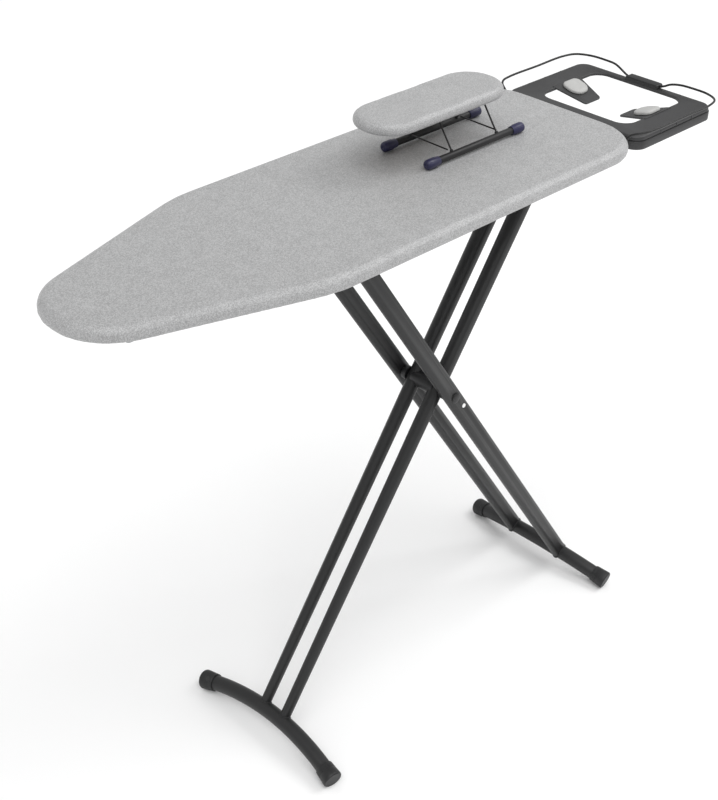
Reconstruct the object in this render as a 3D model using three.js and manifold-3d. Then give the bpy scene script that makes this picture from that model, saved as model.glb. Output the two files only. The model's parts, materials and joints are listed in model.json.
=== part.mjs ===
// Folding ironing board with an iron tray, a wire rail and a small lift-off sleeve board on a wire stand.
// Millimetres, +Z up. +X runs from the pointed nose to the iron tray, and the near side is -Y.
// The origin is on the floor, under the middle of the whole object's outline.

import * as THREE from 'three';
import { mergeVertices } from 'three/addons/utils/BufferGeometryUtils.js';
import Module from 'manifold-3d';

const wasm = await Module();
wasm.setup();

// ---------------------------------------------------------------- driving dimensions

const gap = 0.3; // between pieces that touch
const runClearance = 0.6; // between pieces that move past each other

// Board: a six-sided outline with rounded corners, square at the tray end and narrow at the nose.
const boardHeight = 1001; // floor to the top of the cover
const boardLength = 1060;
const boardWidth = 368;
const noseWidth = 152; // between the two nose corners before they are rounded
const shoulderFromTail = 716; // where the sides start to run in towards the nose
const tailRadius = 98;
const shoulderRadius = 240;
const noseRadius = 100;
const coverWall = 1.2;
const coverDrop = 24; // depth of the padded edge
const coverLip = 36; // how far the cover turns in under the board
const coverEdgeRound = 3;
const foamThickness = 7;
const sheetThickness = 1.5;
const frameWidth = 4;
const elasticWidth = 4;
const elasticHeight = 3;
const leastRadius = 1; // left on an outline's corners when it is moved inwards

// Legs: one pair of close round tubes, one pair of flat-oval tubes, crossing at a pin.
const pivotDrop = 46; // hinge axle and crossbar centres below the top of the cover
const hingeFromTail = 73.3; // hinge axle of the narrow leg
const legAbovePin = 450.5; // along the leg, from the crossing pin up to axle or crossbar
const legLean = THREE.MathUtils.degToRad(34.14); // from the vertical
const foldedLean = THREE.MathUtils.degToRad(83); // from the vertical when folded away
const narrowSpacing = 51;
const narrowTopDiameter = 31.4;
const narrowFootDiameter = 19;
const narrowWall = 1.6;
const wideSpacing = 120;
const wideDepth = 32.4; // in the plane of the leg
const wideThickness = 20.6; // across it
const wideWall = 1.6;
const tubeOverrun = 17; // leg tube above the axle or crossbar
const axleDiameter = 12;
const axleOverhang = 2.4; // axle past the outer face of its bracket
const pinDiameter = 10;
const pinHeadDiameter = 20;
const pinHeadThickness = 2.6;
const washerDiameter = 25;
const spacerDiameter = 30;
const spacerSeat = 60; // half length of the seats cut for the tubes
const plugBelowPin = 33;
const plugForward = 4; // from the tube's centre line
const plugDiameter = 8;
const plugProud = 1.4;
const plugPastWall = 2; // plug inside the tube wall
const pinHeadStep = 3; // dome of the pin's head
const pinHeadRim = 0.8;

// Feet: an arched tube in the plane of each leg, with a flared cap on each end.
const footHalfWidth = 169;
const footArch = 27.5;
const footDiameter = 28.4;
const footWall = 1.8;
const footStraight = 26; // straight run at each end, mostly inside the cap
const footSteps = 18;
const footSides = 16;
const capLength = 27;
const capWall = 2;
const capFlare = 1.8;
const capReach = 3; // solid end of the cap past the tube
const capChamfer = 1;
const capSoleDepth = 0.8; // worn flat where the cap stands on the floor

// Slide rails, rack and release lever under the board.
const railPlateFromMiddle = 43.6;
const railPlateThickness = 3;
const railFlange = 16;
const railBelowPivot = 9.6;
const railPastTravel = 11;
const railEndRadius = 9.5;
const bracketPlateFromMiddle = 44.6;
const bracketThickness = 3;
const bracketLength = 46;
const rackWidth = 5;
const rackEndWall = 4;
const rackTeeth = 6;
const rackToothDepth = 9;
const leverShaftFromCrossbar = 34; // towards the tray from the crossbar in use
const leverShaftRise = 21; // above the crossbar
const leverShaftDiameter = 8;
const leverShaftEnd = 138; // from the middle plane, on the far side
const leverPaddleLength = 92;
const leverPaddleWidth = 36;
const leverPaddleThickness = 8;
const leverPaddleBack = 9; // paddle behind its shaft
const leverPaddleRound = 12;
const leverPaddleRoundOut = 4;
const leverPaddlePastShaft = 3;
const leverBossWall = 3;
const pawlWidth = 9;
const pawlThickness = 7;
const pawlStemBack = 18; // stem of the pawl behind and in front of its shaft
const pawlStemFront = 7;
const pawlStemRise = 8;
const pawlHookReach = 9; // hook past the crossbar's centre
const lugThickness = 4;
const lugSpan = 40;
const lugHalfLength = 11;
const lugBelowShaft = 9;
const lugFromPaddle = 4;
const springWire = 1.6;
const springTurns = 4;
const springStart = 3; // past the inner lug
const springStep = 12; // points in one turn
const springSides = 5;

// Iron tray: a moulded ring with two sloping tongues that carry soft pads.
const trayStart = 12; // past the tail of the board
const trayLength = 225;
const trayWidth = 294;
const trayTop = -21; // below the top of the cover
const trayDepth = 22;
const trayWall = 3;
const trayDeck = 4;
const trayBandWidth = 51; // near and far bands
const trayInnerBar = 35;
const trayOuterBar = 20;
const trayEndSkirt = 11; // depth of the outer skirt at the outer bar, under which light shows
const trayInnerRadius = 24;
const trayOuterRadius = 24;
const openingRadius = 26;
const tongueBase = 76;
const tongueTip = 43;
const tongueReach = 60;
const tongueDrop = 17;
const tongueThickness = 3.4;
const tongueFromStart = 118; // middle of the tongue from the tray's board end
const tongueBack = 6; // buried in the band
const tongueTipRadius = 7;
const padLength = 43;
const padWidth = 40;
const padHeight = 6;
const padBaseRadius = 11;
const padTipRadius = 19;
const padEdgeRound = 2.4;
const padPlay = -1; // centre of the pad past the base line of its tongue
const armDiameter = 10;
const armFromMiddle = 114;
const armUnderBoard = 152;
const armIntoTray = 165;
const saddleLength = 60;
const saddleWidth = 24;
const saddleFloor = 3;
const saddlePastCorner = 14; // end of the saddle past the start of the tail's corner curve
const screwDiameter = 7;
const screwHeight = 3;

// Wire rail round the tray.
const railDiameter = 4;
const railReach = 240; // outermost point past the tail of the board
const railHalfWidth = 162;
const railLevel = -4;
const railSteps = 110;
const railSides = 6;
const clipLength = 70;
const clipWidth = 17;
const clipHeight = 9;
const clipRadius = 3;
const clipInset = 1; // rail's crossing point inboard of the outer bar's middle
const clipOutboard = 1; // middle of the clip past that point

// Sleeve board and its stand.
const sleeveLength = 296;
const sleeveWidth = 110;
const sleeveFromTail = 316; // middle of the sleeve board
const sleeveAcross = 28.5;
const sleeveTop = 93; // above the top of the cover
const sleeveDrop = 20;
const sleeveLip = 22; // how far its cover turns in
const sleeveRadius = 53;
const sleeveWall = 1;
const sleeveEdgeRound = 2.6;
const sleeveFoam = 7;
const sleevePly = 9;
const standPitch = 94; // between the two stand tubes
const standTubeLength = 222;
const standTubeFromTail = 257; // middle of both stand tubes
const standTubeDiameter = 12;
const standTubeWall = 1.5;
const standCapDiameter = 17;
const standCapLength = 24;
const standInboard = 1.5; // middle of the stand nearer than the sleeve board's
const wireDiameter = 3;
const wireSteps = 44;
const wireSides = 6;
const wireSpan = 108; // between the two legs of one wire frame
const wireFromTail = 256; // middle of both wire frames
const wirePivotPitch = 14; // between the two pivot bars
const wirePivotDrop = 6; // pivot bars below the sleeve board
const wireBend = 9;
const frameClipInset = 16; // inside the frame legs
const frameClipHalfLength = 6;
const frameClipEdge = 4; // clip past the pivot bars, across
const frameClipFloor = 2; // clip below the pivot bars
const braceDiameter = 2.6;
const braceRise = 7; // brace wires above the stand tubes' centres
const braceOutboard = 4.4; // brace wires outside the frame legs
const braceInset = 8; // ends of the brace wires inside the stand tubes' centres

// ---------------------------------------------------------------- places worked out from them

const tailX = (boardLength - railReach) / 2;
const noseX = tailX - boardLength;
const pivotZ = boardHeight - pivotDrop;
const hingeX = tailX - hingeFromTail;
const pinX = hingeX - legAbovePin * Math.sin(legLean);
const pinZ = pivotZ - legAbovePin * Math.cos(legLean);
const crossbarX = hingeX - 2 * legAbovePin * Math.sin(legLean);
const foldedCrossbarX = hingeX - 2 * legAbovePin * Math.sin(foldedLean);
const foamTopZ = boardHeight - coverWall - gap;
const sheetTopZ = foamTopZ - foamThickness - gap;
const sheetUnderZ = sheetTopZ - sheetThickness;
const underZ = sheetUnderZ - gap; // what hangs from the deck starts here
const coverBottomZ = boardHeight - coverDrop;

// ---------------------------------------------------------------- finishes

function finish(color, roughness, metalness) {
  return new THREE.MeshStandardMaterial({ color, roughness, metalness });
}

const coverCloth = finish(0xb4b4b8, 0.62, 0.15);
const foam = finish(0xe6e0d0, 0.95, 0);
const charcoal = finish(0x434446, 0.48, 0.35);
const zincSteel = finish(0x9a9da0, 0.4, 0.85);
const blackPlastic = finish(0x232426, 0.55, 0);
const trayPlastic = finish(0x4a4a4b, 0.6, 0);
const padSilicone = finish(0xc9c9c7, 0.7, 0);
const blackWire = finish(0x151515, 0.4, 0.4);
const navyPlastic = finish(0x2c2c55, 0.5, 0);
const whiteNylon = finish(0xf0f0ee, 0.45, 0);
const plywood = finish(0xc8a878, 0.7, 0);
const elastic = finish(0xd8d8d8, 0.85, 0);

// ---------------------------------------------------------------- solids

function toSolid(geometry) {
  const bare = geometry.clone();
  bare.deleteAttribute('normal');
  bare.deleteAttribute('uv');
  const merged = mergeVertices(bare, 1e-4);
  return new wasm.Manifold(new wasm.Mesh({
    numProp: 3,
    vertProperties: new Float32Array(merged.attributes.position.array),
    triVerts: new Uint32Array(merged.index.array),
  }));
}

function toGeometry(solid) {
  const mesh = solid.getMesh();
  const geometry = new THREE.BufferGeometry();
  geometry.setAttribute('position', new THREE.BufferAttribute(new Float32Array(mesh.vertProperties), 3));
  geometry.setIndex(new THREE.BufferAttribute(new Uint32Array(mesh.triVerts), 1));
  geometry.computeVertexNormals();
  return geometry;
}

function cut(geometry, ...tools) {
  return toGeometry(tools.reduce((solid, tool) => solid.subtract(toSolid(tool)), toSolid(geometry)));
}

function join(geometry, ...others) {
  return toGeometry(others.reduce((solid, other) => solid.add(toSolid(other)), toSolid(geometry)));
}

function box(x0, x1, y0, y1, z0, z1) {
  const geometry = new THREE.BoxGeometry(x1 - x0, y1 - y0, z1 - z0);
  return geometry.translate((x0 + x1) / 2, (y0 + y1) / 2, (z0 + z1) / 2);
}

// A cylinder along one axis between two points of that axis, its centre line at (a, b) in the other two.
function rod(axis, from, to, a, b, radius, sides = 24, endRadius = radius) {
  const geometry = new THREE.CylinderGeometry(endRadius, radius, to - from, sides);
  geometry.translate(0, (from + to) / 2, 0);
  if (axis === 'x') return geometry.rotateZ(-Math.PI / 2).translate(0, a, b);
  if (axis === 'y') return geometry.translate(a, 0, b);
  return geometry.rotateX(Math.PI / 2).translate(a, b, 0);
}

// ---------------------------------------------------------------- outlines

// A convex outline, counter-clockwise, moved inwards by a distance.
function insetCorners(corners, distance) {
  const count = corners.length;
  const edges = corners.map((corner, i) => {
    const along = corners[(i + 1) % count].clone().sub(corner).normalize();
    const inward = new THREE.Vector2(-along.y, along.x);
    return { along, start: corner.clone().addScaledVector(inward, distance) };
  });
  return edges.map((edge, i) => {
    const before = edges[(i + count - 1) % count];
    const across = before.along.cross(edge.along);
    const t = edge.start.clone().sub(before.start).cross(edge.along) / across;
    return before.start.clone().addScaledVector(before.along, t);
  });
}

// Points of a convex outline with each corner turned into an arc of its own radius.
function roundedPoints(corners, radii, segments = 8) {
  const points = [];
  corners.forEach((corner, i) => {
    const toLast = corners[(i + corners.length - 1) % corners.length].clone().sub(corner);
    const toNext = corners[(i + 1) % corners.length].clone().sub(corner);
    const half = toLast.angleTo(toNext) / 2;
    const longest = 0.49 * Math.min(toLast.length(), toNext.length());
    const back = Math.min(radii[i] / Math.tan(half), longest);
    const radius = back * Math.tan(half);
    const first = corner.clone().addScaledVector(toLast.normalize(), back);
    const bisector = toLast.add(toNext.normalize()).normalize();
    const centre = corner.clone().addScaledVector(bisector, radius / Math.sin(half));
    const start = first.sub(centre).angle();
    const sweep = Math.PI - 2 * half;
    for (let k = 0; k <= segments; k += 1) {
      const angle = start + (sweep * k) / segments;
      points.push(new THREE.Vector2(radius * Math.cos(angle), radius * Math.sin(angle)).add(centre));
    }
  });
  return points;
}

function slab(points, z0, z1, holes = []) {
  const shape = new THREE.Shape(points);
  holes.forEach((hole) => shape.holes.push(new THREE.Path(hole)));
  return new THREE.ExtrudeGeometry(shape, { depth: z1 - z0, bevelEnabled: false }).translate(0, 0, z0);
}

// A slab with its edges rounded inside its outline.
function pillow(points, z0, z1, round) {
  const shape = new THREE.Shape(points);
  const solid = new THREE.ExtrudeGeometry(shape, {
    depth: z1 - z0 - 2 * round,
    bevelThickness: round,
    bevelSize: round,
    bevelOffset: -round,
    bevelSegments: 2,
  });
  return solid.translate(0, 0, z0 + round);
}

function boardOutline(inset) {
  const corners = [
    new THREE.Vector2(tailX, -boardWidth / 2),
    new THREE.Vector2(tailX, boardWidth / 2),
    new THREE.Vector2(tailX - shoulderFromTail, boardWidth / 2),
    new THREE.Vector2(noseX, noseWidth / 2),
    new THREE.Vector2(noseX, -noseWidth / 2),
    new THREE.Vector2(tailX - shoulderFromTail, -boardWidth / 2),
  ];
  const radii = [tailRadius, tailRadius, shoulderRadius, noseRadius, noseRadius, shoulderRadius];
  const left = radii.map((radius) => Math.max(radius - inset, leastRadius));
  return roundedPoints(insetCorners(corners, inset), left);
}

function rectangle(x0, x1, y0, y1, radii, inset = 0) {
  const corners = [[x1, y0], [x1, y1], [x0, y1], [x0, y0]].map(([x, y]) => new THREE.Vector2(x, y));
  const left = radii.map((radius) => Math.max(radius - inset, leastRadius));
  return roundedPoints(insetCorners(corners, inset), left, 6);
}

// ---------------------------------------------------------------- tubes and wires

function circle(radius, sides) {
  return new THREE.Shape(Array.from({ length: sides }, (_, k) => {
    const angle = (2 * Math.PI * k) / sides;
    return new THREE.Vector2(radius * Math.cos(angle), radius * Math.sin(angle));
  }));
}

function sweep(path, radius, steps, sides, boreRadius = 0) {
  const shape = circle(radius, sides);
  if (boreRadius > 0) shape.holes.push(new THREE.Path(circle(boreRadius, sides).getPoints()));
  return new THREE.ExtrudeGeometry(shape, { steps, extrudePath: path, bevelEnabled: false });
}

// Straight runs between points, with each inner corner bent to a radius.
function bentPath(points, bend) {
  const path = new THREE.CurvePath();
  let from = points[0];
  for (let i = 1; i < points.length - 1; i += 1) {
    const towardsLast = points[i - 1].clone().sub(points[i]);
    const towardsNext = points[i + 1].clone().sub(points[i]);
    const reach = Math.min(bend, 0.45 * Math.min(towardsLast.length(), towardsNext.length()));
    const enter = points[i].clone().addScaledVector(towardsLast.normalize(), reach);
    const leave = points[i].clone().addScaledVector(towardsNext.normalize(), reach);
    path.add(new THREE.LineCurve3(from, enter));
    path.add(new THREE.QuadraticBezierCurve3(enter, points[i], leave));
    from = leave;
  }
  path.add(new THREE.LineCurve3(from, points[points.length - 1]));
  return path;
}

const at = (x, y, z) => new THREE.Vector3(x, y, z);

// ---------------------------------------------------------------- assembly helpers

const model = new THREE.Group();

function addTo(parent, name, geometry, material) {
  const mesh = new THREE.Mesh(geometry, material);
  mesh.name = name;
  parent.add(mesh);
  return mesh;
}

const bothSides = [['near', -1], ['far', 1]];
const bothEnds = [['nose', -1], ['tail', 1]];

// ---------------------------------------------------------------- deck, padding and cover

function makeDeck() {
  addTo(model, 'deck_sheet', slab(boardOutline(coverWall + gap), sheetUnderZ, sheetTopZ), zincSteel);
  const frameOuter = boardOutline(coverWall + 2 * gap);
  const frameInner = boardOutline(coverWall + 2 * gap + frameWidth);
  const frameBottom = coverBottomZ + coverWall + gap;
  addTo(model, 'deck_frame', slab(frameOuter, frameBottom, underZ, [frameInner]), charcoal);
  addTo(model, 'foam_pad', slab(boardOutline(coverWall + gap), foamTopZ - foamThickness, foamTopZ), foam);
}

function makeCover() {
  const skin = pillow(boardOutline(0), coverBottomZ, boardHeight, coverEdgeRound);
  const hollow = slab(boardOutline(coverWall), coverBottomZ + coverWall, boardHeight - coverWall);
  const mouth = slab(boardOutline(coverLip), coverBottomZ - 1, coverBottomZ + coverWall + 1);
  addTo(model, 'board_cover', cut(skin, hollow, mouth), coverCloth);
  const elasticOuter = boardOutline(coverLip + gap);
  const elasticInner = boardOutline(coverLip + gap + elasticWidth);
  const elasticTop = coverBottomZ + elasticHeight;
  addTo(model, 'hem_elastic', slab(elasticOuter, coverBottomZ, elasticTop, [elasticInner]), elastic);
}

// ---------------------------------------------------------------- slide rails, brackets and rack

const railStartX = foldedCrossbarX - railPastTravel;
const railEndX = crossbarX + railPastTravel;

// An angle hung from the deck: an upright web with rounded lower corners, and a flange under the sheet.
function anglePlate(x0, x1, side, fromMiddle, thickness, bottomZ, cornerRadius) {
  const inner = side * (fromMiddle - thickness / 2);
  const outer = side * (fromMiddle + thickness / 2);
  const corners = [
    [x0, bottomZ], [x1, bottomZ], [x1, underZ], [x0, underZ],
  ].map(([x, z]) => new THREE.Vector2(x, z));
  const profile = roundedPoints(corners, [cornerRadius, cornerRadius, leastRadius, leastRadius]);
  const web = slab(profile, -Math.max(inner, outer), -Math.min(inner, outer)).rotateX(Math.PI / 2);
  const tip = side * (fromMiddle - thickness / 2 + railFlange);
  const flange = box(x0, x1, Math.min(inner, tip), Math.max(inner, tip), underZ - thickness, underZ);
  return join(web, flange);
}

function makeSlideRails() {
  const half = axleDiameter / 2 + runClearance;
  const slot = join(
    box(foldedCrossbarX, crossbarX, -boardWidth, boardWidth, pivotZ - half, pivotZ + half),
    rod('y', -boardWidth, boardWidth, foldedCrossbarX, pivotZ, half),
    rod('y', -boardWidth, boardWidth, crossbarX, pivotZ, half),
  );
  bothSides.forEach(([name, side]) => {
    const bottom = pivotZ - railBelowPivot;
    const rail = anglePlate(
      railStartX, railEndX, side, railPlateFromMiddle, railPlateThickness, bottom, railEndRadius,
    );
    addTo(model, `guide_rail_${name}`, cut(rail, slot), zincSteel);
  });
}

function makeHingeBrackets() {
  const bore = rod('y', -boardWidth, boardWidth, hingeX, pivotZ, axleDiameter / 2 + runClearance);
  bothSides.forEach(([name, side]) => {
    const x0 = hingeX - bracketLength / 2;
    const x1 = hingeX + bracketLength / 2;
    const bottom = pivotZ - axleDiameter;
    const plate = anglePlate(x0, x1, side, bracketPlateFromMiddle, bracketThickness, bottom, axleDiameter);
    addTo(model, `hinge_bracket_${name}`, cut(plate, bore), zincSteel);
  });
}

// A strip over the crossbar's path, with a notch for each working height.
function makeRack() {
  const tips = pivotZ + axleDiameter / 2 + runClearance;
  const rackEndX = crossbarX + axleDiameter / 2 + rackEndWall;
  const strip = box(railStartX, rackEndX, -rackWidth / 2, rackWidth / 2, tips, underZ);
  const pitch = (crossbarX - foldedCrossbarX) / rackTeeth;
  const half = axleDiameter / 2 + gap;
  const seatZ = tips + rackToothDepth - axleDiameter / 2;
  const notches = Array.from({ length: rackTeeth }, (_, k) => {
    const x = crossbarX - k * pitch;
    const seat = rod('y', -rackWidth, rackWidth, x, seatZ, half, 16);
    return join(seat, box(x - half, x + half, -rackWidth, rackWidth, tips - 1, seatZ));
  });
  addTo(model, 'height_rack', cut(strip, ...notches), zincSteel);
}

// ---------------------------------------------------------------- release lever

const leverX = crossbarX + leverShaftFromCrossbar;
const leverZ = pivotZ + leverShaftRise;
const lugFromMiddle = leverShaftEnd - leverPaddleWidth - lugThickness - lugFromPaddle;

function makeLever() {
  const radius = leverShaftDiameter / 2;
  const shaft = rod('y', -pawlWidth, leverShaftEnd, leverX, leverZ, radius, 16);
  addTo(model, 'lever_shaft', shaft, zincSteel);

  const bore = rod('y', -boardWidth, boardWidth, leverX, leverZ, radius + gap, 16);
  const hookTop = pivotZ - axleDiameter / 2 - runClearance;
  const half = pawlWidth / 2;
  const hookBottom = hookTop - pawlThickness;
  const stemTop = leverZ + pawlStemRise;
  const stem = box(leverX - pawlStemBack, leverX + pawlStemFront, -half, half, hookBottom, stemTop);
  const hook = box(crossbarX - pawlHookReach, leverX, -half, half, hookBottom, hookTop);
  addTo(model, 'release_pawl', cut(join(stem, hook), bore), zincSteel);

  const y0 = leverShaftEnd - leverPaddleWidth;
  const paddleTop = leverZ - radius + leverPaddleThickness / 2;
  const y1 = leverShaftEnd + leverPaddlePastShaft;
  const rounds = [leverPaddleRound, leverPaddleRound, leverPaddleRoundOut, leverPaddleRoundOut];
  const plan = rectangle(leverX - leverPaddleBack, leverX + leverPaddleLength, y0, y1, rounds);
  const paddle = slab(plan, paddleTop - leverPaddleThickness, paddleTop);
  const boss = rod('y', y0, y1, leverX, leverZ, radius + leverBossWall, 20);
  const bossBore = rod('y', y0 - 1, leverShaftEnd + gap, leverX, leverZ, radius + gap, 16);
  addTo(model, 'lever_grip', cut(join(paddle, boss), bossBore), blackPlastic);
}

function makeLeverLugs() {
  const radius = leverShaftDiameter / 2;
  const x0 = leverX - lugHalfLength;
  const x1 = leverX + lugHalfLength;
  const lug = (y) => box(x0, x1, y, y + lugThickness, leverZ - lugBelowShaft, underZ);
  const y0 = lugFromMiddle - lugSpan;
  const bridge = box(x0, x1, y0, lugFromMiddle + lugThickness, underZ - lugThickness, underZ);
  const bore = rod('y', -boardWidth, boardWidth, leverX, leverZ, radius + runClearance, 16);
  const yoke = cut(join(lug(lugFromMiddle), lug(y0), bridge), bore);
  addTo(model, 'lever_bracket', yoke, zincSteel);

  const coilRadius = radius + springWire / 2 + runClearance;
  const coilStart = y0 + lugThickness + springStart;
  const steps = springTurns * springStep;
  const turns = Array.from({ length: steps + 1 }, (_, k) => {
    const angle = (2 * Math.PI * k) / springStep;
    const y = coilStart + ((springWire + 1) * k) / springStep;
    return at(leverX + coilRadius * Math.cos(angle), y, leverZ + coilRadius * Math.sin(angle));
  });
  const coil = sweep(new THREE.CatmullRomCurve3(turns), springWire / 2, steps, springSides);
  addTo(model, 'lever_spring', coil, zincSteel);
}

// ---------------------------------------------------------------- legs

// Each leg is made upright about the crossing pin, with +Z along the leg, and then leaned over.
// The straight end of the foot tube falls outwards at the slope of the arch, and the rim of its cap
// is the lowest point of the leg.
const footSlope = Math.atan2(2 * footArch, footHalfWidth + footStraight);
const capEndRadius = footDiameter / 2 + capWall + capFlare;
const capRimTilt = Math.hypot(Math.sin(legLean), Math.cos(footSlope) * Math.cos(legLean));
const footEndRise = capEndRadius * capRimTilt - capSoleDepth;
const legBelowPin = (pinZ - footEndRise) / Math.cos(legLean);
const footEndZ = -legBelowPin;
const footCrownZ = footEndZ + footArch;

function footPath() {
  const run = footStraight;
  const across = Math.cos(footSlope);
  const down = Math.sin(footSlope);
  const bendY = footHalfWidth - footStraight * across;
  const bendZ = footEndZ + footStraight * down;
  const path = new THREE.CurvePath();
  path.add(new THREE.LineCurve3(at(0, -bendY - run * across, bendZ - run * down), at(0, -bendY, bendZ)));
  const peak = bendZ + bendY * Math.tan(footSlope);
  path.add(new THREE.QuadraticBezierCurve3(at(0, -bendY, bendZ), at(0, 0, peak), at(0, bendY, bendZ)));
  path.add(new THREE.LineCurve3(at(0, bendY, bendZ), at(0, bendY + run * across, bendZ - run * down)));
  return path;
}

function footCap(side) {
  const inner = footDiameter / 2 + gap;
  const outer = footDiameter / 2 + capWall;
  const profile = [
    [inner, -capLength], [outer, -capLength], [outer + capFlare, 0],
    [outer + capFlare - capChamfer, capReach], [0, capReach], [0, gap], [inner, gap], [inner, -capLength],
  ].map(([radius, length]) => new THREE.Vector2(radius, length));
  const cap = new THREE.LatheGeometry(profile, 24);
  if (side < 0) cap.rotateX(Math.PI);
  return cap.rotateX(-side * footSlope).translate(0, side * footHalfWidth, footEndZ);
}

function addFoot(leg, name) {
  const radius = footDiameter / 2;
  leg.updateMatrix();
  const floor = box(noseX, -noseX, -boardWidth, boardWidth, -boardWidth, 0);
  floor.applyMatrix4(leg.matrix.clone().invert());
  const tube = sweep(footPath(), radius, footSteps, footSides, radius - footWall);
  addTo(leg, `${name}_foot`, tube, charcoal);
  bothSides.forEach(([sideName, side]) => {
    addTo(leg, `${name}_foot_cap_${sideName}`, cut(footCap(side), floor), blackPlastic);
  });
}

const footKeepOut = sweep(footPath(), footDiameter / 2 + gap, footSteps, footSides);

function ovalPoints(depth, thickness) {
  const radius = thickness / 2;
  const flat = depth / 2 - radius;
  return [1, -1].flatMap((end) => Array.from({ length: 11 }, (_, k) => {
    const angle = -Math.PI / 2 + (Math.PI * k) / 10;
    return new THREE.Vector2(end * (flat + radius * Math.cos(angle)), end * radius * Math.sin(angle));
  }));
}

const narrowTopZ = legAbovePin + tubeOverrun;
const narrowDiameterAt = (z) => {
  const share = (z - footCrownZ) / (legAbovePin - footCrownZ);
  return narrowFootDiameter + (narrowTopDiameter - narrowFootDiameter) * share;
};

function narrowTube(side) {
  const y = (side * narrowSpacing) / 2;
  const low = narrowDiameterAt(footCrownZ) / 2;
  const high = narrowDiameterAt(narrowTopZ) / 2;
  const outer = rod('z', footCrownZ, narrowTopZ, 0, y, low, 24, high);
  const bore = rod('z', footCrownZ - 1, narrowTopZ + 1, 0, y, low - narrowWall, 24, high - narrowWall);
  const axleBore = rod('y', -narrowSpacing, narrowSpacing, 0, legAbovePin, axleDiameter / 2 + gap);
  const pinBore = rod('y', -narrowSpacing, narrowSpacing, 0, 0, pinDiameter / 2 + runClearance);
  return cut(outer, bore, axleBore, pinBore, footKeepOut);
}

function makeNarrowLeg() {
  const leg = new THREE.Group();
  leg.position.set(pinX, 0, pinZ);
  leg.rotation.y = legLean;
  model.add(leg);
  bothSides.forEach(([name, side]) => {
    addTo(leg, `narrow_tube_${name}`, narrowTube(side), charcoal);
  });
  const axleHalf = bracketPlateFromMiddle + bracketThickness / 2 + axleOverhang;
  addTo(leg, 'hinge_axle', rod('y', -axleHalf, axleHalf, 0, legAbovePin, axleDiameter / 2), zincSteel);
  const reach = narrowSpacing / 2;
  const barrel = rod('y', -reach, reach, 0, 0, spacerDiameter / 2);
  const bore = rod('y', -narrowSpacing, narrowSpacing, 0, 0, pinDiameter / 2 + runClearance);
  const seats = bothSides.map(([, side]) => {
    const low = narrowDiameterAt(-spacerSeat) / 2 + gap;
    const high = narrowDiameterAt(spacerSeat) / 2 + gap;
    return rod('z', -spacerSeat, spacerSeat, 0, side * reach, low, 24, high);
  });
  addTo(leg, 'cross_spacer', cut(barrel, bore, ...seats), blackPlastic);
  addFoot(leg, 'narrow');
}

function wideTube(side) {
  const y = (side * wideSpacing) / 2;
  const inner = ovalPoints(wideDepth - 2 * wideWall, wideThickness - 2 * wideWall);
  const top = legAbovePin + tubeOverrun;
  const tube = slab(ovalPoints(wideDepth, wideThickness), footCrownZ - footDiameter, top, [inner]);
  tube.translate(0, y, 0);
  const barBore = rod('y', -wideSpacing, wideSpacing, 0, legAbovePin, axleDiameter / 2 + gap);
  const pinBore = rod('y', -wideSpacing, wideSpacing, 0, 0, pinDiameter / 2 + gap);
  const plugBore = rod('y', -wideSpacing, y, plugForward, -plugBelowPin, plugDiameter / 2 + gap, 16);
  const y0 = y - wideThickness;
  const below = box(-wideDepth, wideDepth, y0, y + wideThickness, footEndZ - footDiameter, footAxisZ(y));
  const tools = [barBore, pinBore, footKeepOut, below];
  if (side < 0) tools.push(plugBore);
  return cut(tube, ...tools);
}

// Height of the foot tube's centre line at a place across the foot.
function footAxisZ(y) {
  const bendY = footHalfWidth - footStraight * Math.cos(footSlope);
  const bendZ = footEndZ + footStraight * Math.sin(footSlope);
  return bendZ + (bendY / 2) * Math.tan(footSlope) * (1 - (y / bendY) ** 2);
}

function makeCrossPin() {
  const half = wideSpacing / 2 + wideThickness / 2 + gap;
  const tip = half + pinHeadThickness;
  const radius = pinDiameter / 2;
  const head = pinHeadDiameter / 2;
  const profile = [
    [0, -tip], [head - pinHeadStep, -tip], [head, -half - pinHeadRim], [head, -half], [radius, -half],
    [radius, half], [head, half], [head, half + pinHeadRim], [head - pinHeadStep, tip], [0, tip],
  ].map(([r, length]) => new THREE.Vector2(r, length));
  return new THREE.LatheGeometry(profile, 24);
}

function makeWideLeg() {
  const leg = new THREE.Group();
  leg.position.set(pinX, 0, pinZ);
  leg.rotation.y = -legLean;
  model.add(leg);
  bothSides.forEach(([name, side]) => {
    addTo(leg, `wide_tube_${name}`, wideTube(side), charcoal);
    const outer = side * (wideSpacing / 2 - wideThickness / 2 - gap);
    const inner = side * (narrowSpacing / 2 + narrowDiameterAt(0) / 2 + runClearance);
    const disc = rod('y', Math.min(inner, outer), Math.max(inner, outer), 0, 0, washerDiameter / 2);
    const bore = rod('y', -wideSpacing, wideSpacing, 0, 0, pinDiameter / 2 + gap);
    addTo(leg, `cross_washer_${name}`, cut(disc, bore), blackPlastic);
  });
  addTo(leg, 'cross_pin', makeCrossPin(), zincSteel);
  const barHalf = wideSpacing / 2 + wideThickness / 2 + 1;
  addTo(leg, 'top_crossbar', rod('y', -barHalf, barHalf, 0, legAbovePin, axleDiameter / 2), zincSteel);
  const face = -(wideSpacing + wideThickness) / 2;
  const seat = face + wideWall + plugPastWall;
  const plug = rod('y', face - plugProud, seat, plugForward, -plugBelowPin, plugDiameter / 2, 16);
  addTo(leg, 'tube_plug', plug, whiteNylon);
  addFoot(leg, 'wide');
}

// ---------------------------------------------------------------- iron tray

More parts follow.
